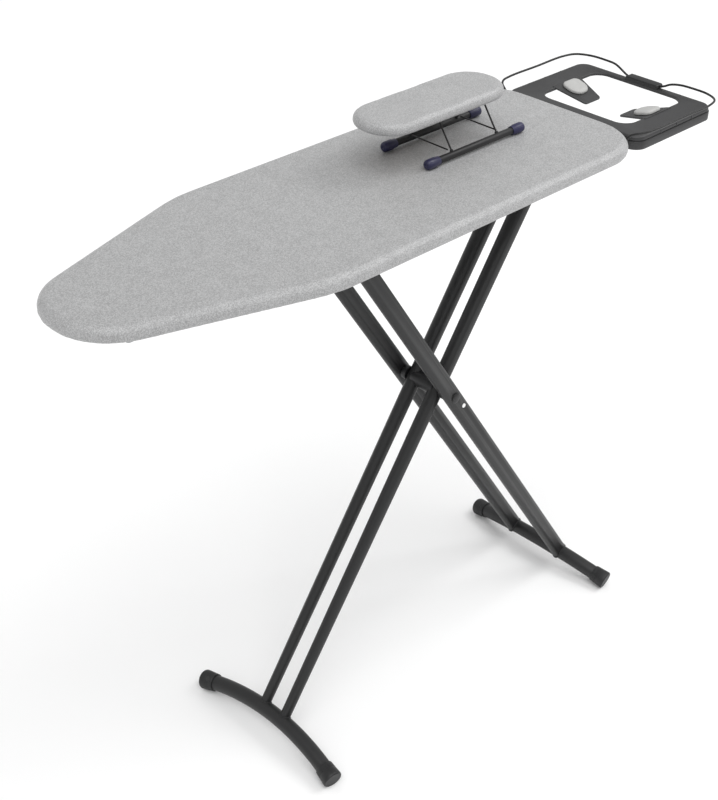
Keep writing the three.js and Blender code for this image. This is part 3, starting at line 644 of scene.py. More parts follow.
def smooth_path(points: np.ndarray, steps: int) -> np.ndarray:
    """A Catmull-Rom curve through points.

    Args:
        points: The points, in order.
        steps: Pieces between two points.

    Returns:
        The finer path.
    """
    padded = np.vstack([2 * points[0] - points[1], points, 2 * points[-1] - points[-2]])
    result = []
    for k in range(len(points) - 1):
        a, b, c, d = padded[k : k + 4]
        for t in np.arange(steps) / steps:
            cubic = -a + 3 * b - 3 * c + d
            square = 2 * a - 5 * b + 4 * c - d
            result.append(0.5 * (2 * b + (c - a) * t + square * t**2 + cubic * t**3))
    result.append(points[-1])
    return np.array(result)


def sweep(name: str, path: np.ndarray, radii: Any, sides: int, closed: bool = False) -> bpy.types.Object:
    """A round bar along a path.

    Args:
        name: The object's name.
        path: Points of the centre line.
        radii: One radius, or one for each point.
        sides: Points round the bar.
        closed: Whether the path is a loop.

    Returns:
        The bar as an object.
    """
    radii = np.broadcast_to(radii, len(path))
    if closed:
        tangents = np.roll(path, -1, axis=0) - np.roll(path, 1, axis=0)
    else:
        tangents = np.gradient(path, axis=0)
    tangents /= np.linalg.norm(tangents, axis=1)[:, None]
    across = np.cross(tangents[0], (0.0, 0.0, 1.0))
    if np.linalg.norm(across) < 0.1:
        across = np.cross(tangents[0], (1.0, 0.0, 0.0))
    angles = 2 * math.pi * np.arange(sides) / sides
    rings = []
    for point, tangent, radius in zip(path, tangents, radii):
        across = across - tangent * np.dot(across, tangent)
        across /= np.linalg.norm(across)
        up = np.cross(tangent, across)
        ring = np.outer(np.cos(angles), across) + np.outer(np.sin(angles), up)
        rings.append(point + radius * ring)
    return loft(name, rings, closed=closed)


def turned(name: str, profile: Profile, start: Any, along: Any, sides: int = 48, flutes: int = 0) -> Any:
    """A turned piece about an axis.

    Args:
        name: The object's name.
        profile: Radius and length pairs from one end to the other, starting and ending on the axis.
        start: The point of the axis where length is 0.
        along: The axis.
        sides: Points round the piece.
        flutes: Shallow flutes pressed into its widest rings.

    Returns:
        The closed object.
    """
    axis = Vector(along).normalized()
    turn = Vector((0.0, 0.0, 1.0)).rotation_difference(axis).to_matrix()
    angles = 2 * math.pi * np.arange(sides) / sides
    widest = max(radius for radius, _ in profile)
    rings = []
    for radius, length in profile:
        depth = 0.035 * radius if flutes and radius > 0.9 * widest else 0.0
        grooved = max(radius, 1e-5) - depth * np.cos(flutes * angles) ** 8
        ring = np.stack([grooved * np.cos(angles), grooved * np.sin(angles), np.full(sides, length)], axis=1)
        rings.append(ring @ np.array(turn).T + np.array(start))
    return loft(name, rings)


def rounded(radius: float, length: float, edge: float, steps: int = 4) -> Profile:
    """The profile of a solid cylinder with rounded rims.

    Args:
        radius: Its radius.
        length: Its length.
        edge: Radius of both rims.
        steps: Points of each rim.

    Returns:
        Radius and length pairs.
    """
    profile = [(0.0, 0.0)]
    for k in range(steps + 1):
        angle = 0.5 * math.pi * k / steps
        profile.append((radius - edge + edge * math.sin(angle), edge - edge * math.cos(angle)))
    for k in range(steps + 1):
        angle = 0.5 * math.pi * k / steps
        profile.append((radius - edge + edge * math.cos(angle), length - edge + edge * math.sin(angle)))
    profile.append((0.0, length))
    return profile


def merged_copy(node: str, name: str) -> bpy.types.Object:
    """A copy of a CAD node with its loose triangles joined and its flat faces made whole."""
    made = bpy.data.objects.new(name, frame["nodes"][node].data.copy())
    bpy.context.scene.collection.objects.link(made)
    work = bmesh.new()
    work.from_mesh(made.data)
    bmesh.ops.remove_doubles(work, verts=work.verts, dist=1e-6)
    bmesh.ops.dissolve_limit(work, angle_limit=math.radians(0.5), verts=work.verts, edges=work.edges)
    work.to_mesh(made.data)
    work.free()
    return made


def soften(node: str, edge: float, finish: Finish, steps: int = 2) -> bpy.types.Object:
    """A CAD node remade with rounded edges, in its own finish and on its own body.

    Args:
        node: The CAD node.
        edge: Width of the rounded edges.
        finish: Its finish.
        steps: Steps across a rounded edge.

    Returns:
        The piece that stands for the node.
    """
    piece = merged_copy(node, f"{node}_finished")
    bevel = piece.modifiers.new("edges", "BEVEL")
    bevel.width = edge
    bevel.segments = steps
    bevel.limit_method = "ANGLE"
    bevel.angle_limit = math.radians(38.0)
    bevel.miter_outer = "MITER_ARC"
    bake_modifiers(piece)
    return dress(piece, finish, body_of(node), [node])


def body_of(node: str) -> str:
    """The body that a CAD node belongs to."""
    bodies = frame["record"]["behaviour"]["bodies"]
    return next(name for name, nodes in bodies.items() if node in nodes)


def joint_place(name: str) -> np.ndarray:
    """Where a joint's axis is."""
    joints = frame["record"]["behaviour"]["joints"]
    return np.array(next(j["pos_m"] for j in joints if j["name"] == name), float)


def centre_line(node: str, ring: int, towards: Sequence[float]) -> np.ndarray:
    """The centre line of a swept CAD solid, read from its mesh ring by ring.

    Args:
        node: The CAD node.
        ring: Points of one ring of the sweep, with those of its bore.
        towards: The direction in which its first ring lies furthest.

    Returns:
        The points of the centre line.
    """
    work = bmesh.new()
    work.from_mesh(frame["nodes"][node].data)
    bmesh.ops.remove_doubles(work, verts=work.verts, dist=1e-6)
    direction = Vector(towards)
    layer = sorted(work.verts, key=lambda v: -v.co.dot(direction))[:ring]
    seen = set(layer)
    centres = []
    while layer:
        centres.append(np.mean([tuple(v.co) for v in layer], axis=0))
        layer = list({e.other_vert(v) for v in layer for e in v.link_edges} - seen)
        seen.update(layer)
    work.free()
    return np.array(centres)


@dataclass(frozen=True)
class Outline:
    """A convex plan outline, counter-clockwise, with rounded corners."""

    corners: tuple[tuple[float, float], ...]
    radii: tuple[float, ...]
    arc_steps: int = 12
    spacing: float = 0.02

    def arcs(self) -> list[tuple[np.ndarray, float, float, float]]:
        """The centre, radius, first angle and sweep of each corner."""
        points = np.array(self.corners)
        arcs = []
        for k, radius in enumerate(self.radii):
            corner = points[k]
            back = points[k - 1] - corner
            ahead = points[(k + 1) % len(points)] - corner
            back_length, ahead_length = np.linalg.norm(back), np.linalg.norm(ahead)
            back, ahead = back / back_length, ahead / ahead_length
            half = math.acos(float(np.clip(back @ ahead, -1, 1))) / 2
            reach = min(radius / math.tan(half), 0.49 * min(back_length, ahead_length))
            real = reach * math.tan(half)
            bisector = (back + ahead) / np.linalg.norm(back + ahead)
            centre = corner + bisector * real / math.sin(half)
            first = corner + back * reach - centre
            arcs.append((centre, real, math.atan2(first[1], first[0]), math.pi - 2 * half))
        return arcs

    def ring(self, inset: float, z: float) -> np.ndarray:
        """The outline moved inwards, as points at one height.

        Args:
            inset: How far in, less than the smallest radius.
            z: The height.

        Returns:
            The same number of points for every inset.
        """
        arcs = self.arcs()
        bends = []
        for centre, radius, start, turn in arcs:
            angles = start + turn * np.arange(self.arc_steps + 1) / self.arc_steps
            bends.append(centre + (radius - inset) * np.stack([np.cos(angles), np.sin(angles)], axis=1))
        points = []
        for k, bend in enumerate(bends):
            following = bends[(k + 1) % len(bends)]
            straight = self.straight_lengths()[k]
            count = max(1, round(straight / self.spacing))
            shares = np.arange(1, count)[:, None] / count
            points += [bend, bend[-1] + (following[0] - bend[-1]) * shares]
        flat = np.concatenate(points)
        return np.column_stack([flat, np.full(len(flat), z)])

    def straight_lengths(self) -> list[float]:
        """The straight run after each corner."""
        ends = []
        for centre, radius, start, turn in self.arcs():
            angles = (start, start + turn)
            ends.append([centre + radius * np.array([math.cos(a), math.sin(a)]) for a in angles])
        return [float(np.linalg.norm(ends[(k + 1) % len(ends)][0] - ends[k][1])) for k in range(len(ends))]

    def solid(self, name: str, profile: Profile) -> bpy.types.Object:
        """A closed solid lofted through the outline.

        Args:
            name: The object's name.
            profile: Inset and height pairs, from the bottom up.

        Returns:
            The object.
        """
        return loft(name, [self.ring(inset, z) for inset, z in profile])


def rectangle(x0: float, x1: float, y0: float, y1: float, radii: Sequence[float], **more: Any) -> Outline:
    """A rectangle with four corner radii, from its high-X, low-Y corner round."""
    return Outline(((x1, y0), (x1, y1), (x0, y1), (x0, y0)), tuple(radii), **more)


# ---------------------------------------------------------------- geometry nodes


class Generator(NodeTree):
    """A geometry node tree with named inputs that is run on a piece and then removed."""

    def __init__(self, name: str, inputs: Mapping[str, str]) -> None:
        """Starts a tree.

        Args:
            name: The tree's name.
            inputs: Name and socket type of each input after the geometry.
        """
        super().__init__(bpy.data.node_groups.new(name, "GeometryNodeTree"))
        face = self.tree.interface
        face.new_socket("Geometry", in_out="INPUT", socket_type="NodeSocketGeometry")
        made = {n: face.new_socket(n, in_out="INPUT", socket_type=kind) for n, kind in inputs.items()}
        face.new_socket("Geometry", in_out="OUTPUT", socket_type="NodeSocketGeometry")
        self.identifiers = {n: socket.identifier for n, socket in made.items()}
        self.entry = self.tree.nodes.new("NodeGroupInput")

    def given(self, name: str) -> Signal:
        """The signal of a named input."""
        return Signal(self, self.entry.outputs[name])

    def close(self, geometry: Signal) -> None:
        """Ends the tree with Realize Instances and Set Material."""
        real = self.node("GeometryNodeRealizeInstances", {0: geometry})
        dressed = self.node("GeometryNodeSetMaterial", {0: real, "Material": self.given("Material")})
        self.node("NodeGroupOutput", {0: dressed})

    def run(self, piece: bpy.types.Object, **values: Any) -> None:
        """Runs the tree on a piece and keeps the plain mesh.

        Args:
            piece: The object whose mesh goes in.
            values: A value for each named input, with _ for a space.
        """
        step = piece.modifiers.new(self.tree.name, "NODES")
        step.node_group = self.tree
        for name, value in values.items():
            step[self.identifiers[name.replace("_", " ").title()]] = value
        bake_modifiers(piece)


def row_generator() -> Generator:
    """Beads of one size in a row along loose edges, such as stitches or the ripples of a weld."""
    sizes = dict.fromkeys(("Spacing", "Length", "Width", "Height", "Unevenness"), "NodeSocketFloat")
    made = Generator("bead_row", {**sizes, "Seed": "NodeSocketInt", "Material": "NodeSocketMaterial"})
    line = made.node("GeometryNodeMeshToCurve", {0: made.given("Geometry")})
    even = made.node(
        "GeometryNodeResampleCurve", {"Curve": line, "Length": made.given("Spacing")}, mode="LENGTH",
    )
    ball = made.node("GeometryNodeMeshUVSphere", {"Segments": 8, "Rings": 5, "Radius": 0.5})
    tangent = made.node("GeometryNodeInputTangent")
    turn = made.node("FunctionNodeAlignRotationToVector", {"Vector": tangent}, axis="X")
    size = made.node(
        "ShaderNodeCombineXYZ", {0: made.given("Length"), 1: made.given("Width"), 2: made.given("Height")},
    )
    change = made.node(
        "FunctionNodeRandomValue",
        {2: 1.0 - made.given("Unevenness"), 3: 1.0 + made.given("Unevenness"), "Seed": made.given("Seed")},
        out=1,
        data_type="FLOAT",
    )
    scale = made.node("ShaderNodeVectorMath", {0: size, "Scale": change}, operation="SCALE")
    beads = made.node(
        "GeometryNodeInstanceOnPoints", {"Points": even, "Instance": ball, "Rotation": turn, "Scale": scale},
    )
    solid = made.node("GeometryNodeRealizeInstances", {0: beads})
    smooth = made.node("GeometryNodeSetShadeSmooth", {0: solid})
    made.close(smooth)
    return made


def fastener_generator() -> Generator:
    """One head on each loose point, such as rivets or screws."""
    made = Generator(
        "fasteners",
        {"Head": "NodeSocketObject", "Scale": "NodeSocketFloat", "Material": "NodeSocketMaterial"},
    )
    head = made.node("GeometryNodeObjectInfo", {0: made.given("Head")}, out="Geometry")
    heads = made.node(
        "GeometryNodeInstanceOnPoints",
        {"Points": made.given("Geometry"), "Instance": head, "Scale": made.given("Scale")},
    )
    made.close(heads)
    return made


def perforation_generator() -> Generator:
    """Staggered round holes through a flat sheet, kept off its rim."""
    sizes = dict.fromkeys(("Pitch", "Hole", "Rim"), "NodeSocketFloat")
    made = Generator("perforations", {**sizes, "Material": "NodeSocketMaterial"})
    sheet = made.given("Geometry")
    pitch = made.given("Pitch")
    low = made.node("GeometryNodeBoundBox", {0: sheet}, out="Min")
    high = Signal(made, low.socket.node.outputs["Max"])
    size = made.node("ShaderNodeVectorMath", {0: high, 1: low}, operation="SUBTRACT")
    middle = made.node("ShaderNodeMix", {0: 0.5, 4: low, 5: high}, out=1, data_type="VECTOR")
    size_x = made.node("ShaderNodeSeparateXYZ", {0: size})
    size_y = Signal(made, size_x.socket.node.outputs[1])
    row_pitch = pitch * (math.sqrt(3) / 2)
    columns = (size_x / pitch).maths("FLOOR")
    rows = (size_y / row_pitch).maths("FLOOR")
    grid = made.node(
        "GeometryNodeMeshGrid",
        {
            "Size X": columns * pitch,
            "Size Y": rows * row_pitch,
            "Vertices X": columns + 1,
            "Vertices Y": rows + 1,
        },
    )
    place = made.node("GeometryNodeInputPosition")
    row = (made.node("ShaderNodeSeparateXYZ", {0: place}, out=1) / row_pitch + 100.5).maths("FLOOR")
    shift = row.maths("MODULO", 2.0) * pitch * 0.5
    offset = made.node("ShaderNodeCombineXYZ", {0: shift})
    moved = made.node("GeometryNodeSetPosition", {0: grid, "Offset": offset})
    centred = made.node("GeometryNodeSetPosition", {0: moved, "Offset": middle})
    above = made.node("ShaderNodeVectorMath", {0: place, 1: (0.0, 0.0, 1.0)}, operation="ADD")
    hit = made.node(
        "GeometryNodeRaycast",
        {
            "Target Geometry": sheet,
            "Source Position": above,
            "Ray Direction": (0.0, 0.0, -1.0),
            "Ray Length": 2.0,
        },
        out="Is Hit",
    )
    upright = made.node("ShaderNodeSeparateXYZ", {0: made.node("GeometryNodeInputNormal")}, out=2)
    is_side = made.node(
        "FunctionNodeCompare",
        {0: upright.maths("ABSOLUTE"), 1: 0.5},
        operation="LESS_THAN",
        data_type="FLOAT",
    )
    rim = made.node("GeometryNodeSeparateGeometry", {0: sheet, "Selection": is_side}, domain="FACE")
    reach = made.node("GeometryNodeProximity", {0: rim}, out="Distance", target_element="FACES")
    clear = made.node(
        "FunctionNodeCompare", {0: reach, 1: made.given("Rim")}, operation="GREATER_THAN", data_type="FLOAT",
    )
    kept = made.node("FunctionNodeBooleanMath", {0: hit, 1: clear}, operation="AND")
    places = made.node("GeometryNodeSeparateGeometry", {0: centred, "Selection": kept}, domain="POINT")
    punch = made.node(
        "GeometryNodeMeshCylinder", {"Vertices": 8, "Radius": made.given("Hole") * 0.5, "Depth": 0.02},
    )
    punches = made.node("GeometryNodeInstanceOnPoints", {"Points": places, "Instance": punch})
    solid = made.node("GeometryNodeRealizeInstances", {0: punches})
    holed = made.node(
        "GeometryNodeMeshBoolean", {0: sheet, 1: solid}, operation="DIFFERENCE", solver="MANIFOLD",
    )
    made.close(holed)
    return made


# ---------------------------------------------------------------- padding


@dataclass(frozen=True)
class Inflation:
    """How the padding pushes a cover out: cloth with a pressure inside, held by the board under it."""

    voxel: float
    cap: float
    pressure: float = 4.0
    frames: int = 20

    def apply(self, piece: bpy.types.Object, low: float, high: float) -> None:
        """Swells a closed piece and adds one subdivision.

        Args:
            piece: The piece, a little smaller than its final shape.
            low: The lowest height a point may reach.
            high: The highest height a point may reach.
        """
        grid = piece.modifiers.new("grid", "REMESH")
        grid.mode = "VOXEL"
        grid.voxel_size = self.voxel
        bake_modifiers(piece)
        rest = self.points(piece.data)
        normals = np.array([vertex.normal[:] for vertex in piece.data.vertices])
        outwards = np.sum((self.simulate(piece) - rest) * normals, axis=1)
        rest = rest + normals * np.clip(outwards, 0.0, self.cap)[:, None]
        rest[:, 2] = np.clip(rest[:, 2], low, high)
        piece.data.vertices.foreach_set("co", rest.astype(np.float32).ravel())
        finer = piece.modifiers.new("finer", "SUBSURF")
        finer.levels = finer.render_levels = 1
        bake_modifiers(piece)

    def simulate(self, piece: bpy.types.Object) -> np.ndarray:
        """Runs the cloth and returns where its points end."""
        scene = bpy.context.scene
        cloth = piece.modifiers.new("cloth", "CLOTH")
        cloth.settings.use_pressure = True
        cloth.settings.uniform_pressure_force = self.pressure
        cloth.settings.effector_weights.gravity = 0.0
        cloth.point_cache.frame_start = 1
        cloth.point_cache.frame_end = self.frames
        for number in range(1, self.frames + 1):
            scene.frame_set(number)
        depsgraph = bpy.context.evaluated_depsgraph_get()
        swollen = self.points(piece.evaluated_get(depsgraph).data)
        piece.modifiers.clear()
        scene.frame_set(1)
        return swollen

    @staticmethod
    def points(mesh: bpy.types.Mesh) -> np.ndarray:
        """The points of a mesh as rows."""
        flat = np.empty(len(mesh.vertices) * 3, np.float32)
        mesh.vertices.foreach_get("co", flat)
        return flat.reshape(-1, 3).astype(float)


def round_over(inset: float, top: float, radius: float, steps: int = 6) -> Profile:
    """Inset and height pairs of a rounded upper edge that ends at the top."""
    angles = [0.5 * math.pi * k / steps for k in range(steps + 1)]
    rounded_edge = [(inset + radius * (1 - math.cos(a)), top - radius * (1 - math.sin(a))) for a in angles]
    return [*rounded_edge, (inset + 1.15 * radius, top)]


def upper_part(profile: Profile, bottom: float) -> Profile:
    """The part of a rounded edge above a height, closed at that height."""
    kept = [(inset, z) for inset, z in profile if z > bottom + 0.3 * MM]
    return [(kept[0][0] + 0.1 * MM, bottom), *kept]


def round_under(inset: float, bottom: float, radius: float, steps: int = 4) -> Profile:
    """Inset and height pairs of a rounded lower edge that starts at the bottom."""
    angles = [0.5 * math.pi * k / steps for k in range(steps + 1)]
    rounded_edge = [(inset + radius * (1 - math.sin(a)), bottom + radius * (1 - math.cos(a))) for a in angles]
    return [(inset + 1.15 * radius, bottom), *rounded_edge]


@dataclass
class PaddedCover:
    """A cloth cover drawn over a pad, turned in under its edge and gathered there."""

    name: str
    node: str
    outline: Outline
    lip: float
    body: Body
    inflation: Inflation
    wall: float = 1.2 * MM
    under_wall: float = 2.0 * MM
    slack: float = 0.4 * MM
    top_round: float = 14.0 * MM
    under_round: float = 7.0 * MM
    lift: float = 0.5 * MM
    sag: float = 1.0 * MM
    mouth_height: float = 3.0 * MM
    gather_start: float = 6.0 * MM
    gather_pitch: float = 17.0 * MM
    gather_depth: float = 0.9 * MM
    stitch_from_hem: float = 6.0 * MM

    def build(self) -> None:
        low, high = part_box(self.node)
        slack = self.slack
        profile = round_under(slack, low.z + self.lift, self.under_round)
        profile += round_over(slack, high.z - slack, self.top_round)
        cover = self.outline.solid(self.name, profile)
        self.inflation.apply(cover, low.z - self.sag, high.z)
        inside = round_under(self.under_wall, low.z + self.under_wall, self.under_round)
        inside += round_over(self.under_wall, high.z - self.wall, self.top_round)
        hollow = self.outline.solid("hollow", inside)
        mouth_top = low.z + self.mouth_height
        mouth = self.outline.solid("mouth", [(self.lip, low.z - 10 * MM), (self.lip, mouth_top)])
        boolean(cover, "DIFFERENCE", hollow, mouth)
        self.gather(cover, low.z)
        dress(cover, COVER, self.body, [self.node], crease=50.0)
        self.stitch(cover)

    def gather(self, cover: bpy.types.Object, bottom: float) -> None:
        """Puckers the turned-in lip, more towards its hem."""
        ring = self.outline.ring(0.0, bottom)
        finer = smooth_path(np.vstack([ring, ring[:1]]), 6)
        lengths = np.concatenate([[0.0], np.cumsum(np.linalg.norm(np.diff(finer, axis=0), axis=1))])
        tree = KDTree(len(finer))
        for k, point in enumerate(finer):
            tree.insert(point, k)
        tree.balance()
        turns = round(lengths[-1] / self.gather_pitch)
        for vertex in cover.data.vertices:
            if vertex.co.z > bottom + self.mouth_height:
                continue
            _, k, inset = tree.find((vertex.co.x, vertex.co.y, bottom))
            share = min(1.0, max(0.0, (inset - self.gather_start) / (self.lip - self.gather_start)))
            wave = math.sin(2 * math.pi * turns * lengths[k] / lengths[-1])
            ripple = 0.4 * math.sin(2 * math.pi * 0.37 * turns * lengths[k] / lengths[-1] + 1.0)
            vertex.co.z += self.gather_depth * share * 0.5 * (wave + ripple)

    def stitch(self, cover: bpy.types.Object) -> None:
        """Runs a row of stitches along the lip, just outside its hem."""
        ring = self.outline.ring(self.lip - self.stitch_from_hem, 0.0)
        path = smooth_path(np.vstack([ring, ring[:1]]), 3)[:-1]
        below = min(corner[2] for corner in cover.bound_box) - 10 * MM
        placed = []
        for x, y, _ in path:
            hit, place, _, _ = cover.ray_cast((x, y, below), (0.0, 0.0, 1.0))
            placed.append((x, y, place.z if hit else below + 10 * MM))
        count = len(placed)
        row = new_object(f"{self.name}_stitches", placed, edges=[(k, (k + 1) % count) for k in range(count)])
        BEADS.run(
            row, spacing=4.0 * MM, length=3.1 * MM, width=0.7 * MM, height=0.6 * MM, unevenness=0.08,
            seed=4, material=COVER.material(),
        )
        dress(row, COVER, self.body)


# ---------------------------------------------------------------- board


@dataclass
class PaddedBoard:
    """The padded board: perforated deck, foam, cover and hem."""

    nose_width: float = 152 * MM
    shoulder_from_tail: float = 716 * MM
    tail_radius: float = 98 * MM
    shoulder_radius: float = 240 * MM
    nose_radius: float = 100 * MM
    lip: float = 36 * MM
    sheet_inset: float = 3.4 * MM
    foam_inset: float = 2.5 * MM
    foam_round: float = 14.2 * MM
    frame_inset: float = 3.6 * MM
    frame_rise: float = 2.0 * MM
    frame_round: float = 6.0 * MM
    frame_width: float = 3.2 * MM
    hole_pitch: float = 18 * MM
    hole_size: float = 8 * MM
    hole_rim: float = 20 * MM
    elastic_inset: float = 38.3 * MM
    elastic_radius: float = 1.45 * MM

    def outline(self) -> Outline:
        """The plan outline of the cover, read from the CAD cover's box."""
        low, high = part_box("board_cover")
        shoulder = high.x - self.shoulder_from_tail
        half = high.y
        nose = self.nose_width / 2
        corners = (
            (high.x, -half), (high.x, half), (shoulder, half),
            (low.x, nose), (low.x, -nose), (shoulder, -half),
        )
        radii = (
            self.tail_radius, self.tail_radius, self.shoulder_radius,
            self.nose_radius, self.nose_radius, self.shoulder_radius,
        )
        return Outline(corners, radii)

    def build(self) -> None:
        """Makes every piece of the padded board."""
        outline = self.outline()
        inflation = Inflation(voxel=5 * MM, cap=1.6 * MM)
        PaddedCover("board_cover_cloth", "board_cover", outline, self.lip, Body.BOARD, inflation).build()
        self.build_foam(outline)
        self.build_deck(outline)
        self.build_elastic(outline)
        self.build_frame(outline)

    def build_frame(self, outline: Outline) -> None:
        """The steel band round the deck, its lower edge rounded where the cover turns in."""
        low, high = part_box("deck_frame")
        outer = round_under(self.frame_inset, low.z + self.frame_rise, self.frame_round)
        outer += round_over(self.frame_inset, high.z, 0.5 * MM, 2)
        inset = self.frame_inset + self.frame_width
        inner = outline.solid("inner", [(inset, low.z - 10 * MM), (inset, high.z + 10 * MM)])
        band = outline.solid("deck_band", outer)
        boolean(band, "DIFFERENCE", inner)
        dress(band, CHARCOAL, Body.BOARD, ["deck_frame"], crease=40.0)

    def build_foam(self, outline: Outline) -> None:
        """The felt foam between deck and cover."""
        low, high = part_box("foam_pad")
        profile = upper_part(round_over(self.foam_inset, high.z, self.foam_round), low.z)
        foam = outline.solid("foam_layer", profile)
        dress(foam, FOAM, Body.BOARD, ["foam_pad"])

    def build_deck(self, outline: Outline) -> None:
        """The steel sheet with its staggered steam holes."""
        low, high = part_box("deck_sheet")
        sheet = outline.solid("perforated_deck", [(self.sheet_inset, low.z), (self.sheet_inset, high.z)])
        perforation_generator().run(
            sheet, pitch=self.hole_pitch, hole=self.hole_size, rim=self.hole_rim, material=ZINC.material(),
        )
        dress(sheet, ZINC, Body.BOARD, ["deck_sheet"], crease=30.0)

    def build_elastic(self, outline: Outline) -> None:
        """The elastic that draws the hem in, gathered along its length."""
        low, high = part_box("hem_elastic")
        ring = outline.ring(self.elastic_inset, (low.z + high.z) / 2)
        path = smooth_path(np.vstack([ring, ring[:1]]), 8)[:-1]
        bulge = 1 + 0.1 * np.sin(np.arange(len(path)) * 1.9)
        elastic = sweep("hem_elastic_cord", path, self.elastic_radius * bulge, 8, closed=True)
        dress(elastic, ELASTIC, Body.BOARD, ["hem_elastic"])


def screw_head(name: str, radius: float, height: float) -> bpy.types.Object:
    """A cross-recessed pan head at the origin that points down."""
    profile = [(0.0, 0.0), (radius, 0.0), (radius, -0.35 * height), (0.88 * radius, -0.75 * height)]
    profile += [(0.55 * radius, -0.96 * height), (0.0, -height)]
    head = turned(name, profile, (0.0, 0.0, 0.0), (0.0, 0.0, 1.0), sides=20)
    recess = [(0, 0), (0.16 * radius, 0), (0.16 * radius, 1), (0, 1)]
    for turn in (0.0, 90.0):
        slot = turned("recess", recess, (0, 0, 0), (0, 0, 1), 4)
        shape = Matrix.Rotation(math.radians(turn), 4, "Z") @ Matrix.Diagonal((3.6, 1.0, height, 1.0))
        slot.data.transform(Matrix.Rotation(math.radians(45), 4, "Z"))
        slot.data.transform(Matrix.Translation((0, 0, -1.5 * height)) @ shape)
        boolean(head, "DIFFERENCE", slot)
    return head


def rivet_head(name: str, radius: float, height: float) -> bpy.types.Object:
    """A domed rivet head at the origin that points down."""
    profile = [(0.0, 0.0), (radius, 0.0), (0.95 * radius, -0.4 * height), (0.7 * radius, -0.8 * height)]
    profile += [(0.35 * radius, -0.97 * height), (0.0, -height)]
    return turned(name, profile, (0.0, 0.0, 0.0), (0.0, 0.0, 1.0), sides=16)


def place_heads(name: str, head: bpy.types.Object, places: Sequence[Any], finish: Finish, body: Body) -> None:
    """Puts one fastener head on each place and removes the pattern head.

    Args:
        name: The piece's name.
        head: The head at the origin, pointing down.
        places: Where each head's face sits.
        finish: Its finish.
        body: The body it rides on.
    """
    piece = new_object(name, places)
    HEADS.run(piece, head=head, scale=1.0, material=finish.material())
    bpy.data.objects.remove(head, do_unlink=True)
    dress(piece, finish, body, crease=40.0)


@dataclass
class UnderFrame:
    """What hangs under the deck: slide rails, rack, hinge brackets and the tray arms' saddles."""

    flange_from_middle: float = 53 * MM
    flange_thickness: float = 3 * MM
    rivet_pitch: float = 62 * MM
    rivet_radius: float = 3.2 * MM
    rivet_height: float = 1.6 * MM
    end_margin: float = 12 * MM

    def build(self) -> None:
        """Finishes the CAD pieces and adds their rivets and screws."""
        for side in Side:
            soften(f"guide_rail_{side.word}", 0.7 * MM, ZINC)
            soften(f"hinge_bracket_{side.word}", 0.7 * MM, ZINC)
            soften(f"arm_saddle_{side.word}", 1.5 * MM, BLACK, 3)
            self.build_saddle_screw(side)
        soften("height_rack", 0.5 * MM, ZINC)
        places = [place for side in Side for place in self.rivet_places(side)]
        head = rivet_head("rivet", self.rivet_radius, self.rivet_height)
        place_heads("deck_rivets", head, places, ZINC, Body.BOARD)

    def rivet_places(self, side: Side) -> list[tuple[float, float, float]]:
        """Rivets along the flanges of one side's rail and bracket."""
        places = []
        for node in (f"guide_rail_{side.word}", f"hinge_bracket_{side.word}"):
            low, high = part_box(node)
            first, last = low.x + self.end_margin, high.x - self.end_margin
            count = max(2, round((last - first) / self.rivet_pitch) + 1)
            z = high.z - self.flange_thickness
            places += [(x, side.value * self.flange_from_middle, z) for x in np.linspace(first, last, count)]
        return places

    def build_saddle_screw(self, side: Side) -> None:
        """The cross-headed screw under one saddle."""
        node = f"saddle_screw_{side.word}"
        low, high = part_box(node)
        head = screw_head(f"{node}_head", (high.x - low.x) / 2, high.z - low.z)
        head.data.transform(Matrix.Translation(((low.x + high.x) / 2, (low.y + high.y) / 2, high.z)))
        dress(head, ZINC, Body.BOARD, [node], crease=40.0)


@dataclass
class ReleaseLever:
    """The height lever under the far edge, with its shaft, pawl, bracket and spring."""

    grip_round: float = 2.2 * MM

    def build(self) -> None:
        """Finishes the lever's CAD pieces."""
        soften("lever_shaft", 0.6 * MM, ZINC)
        soften("release_pawl", 0.5 * MM, ZINC)
        soften("lever_grip", self.grip_round, BLACK, 4)
        soften("lever_bracket", 0.5 * MM, ZINC)
        soften("lever_spring", 0.15 * MM, ZINC, 1)


# ---------------------------------------------------------------- legs


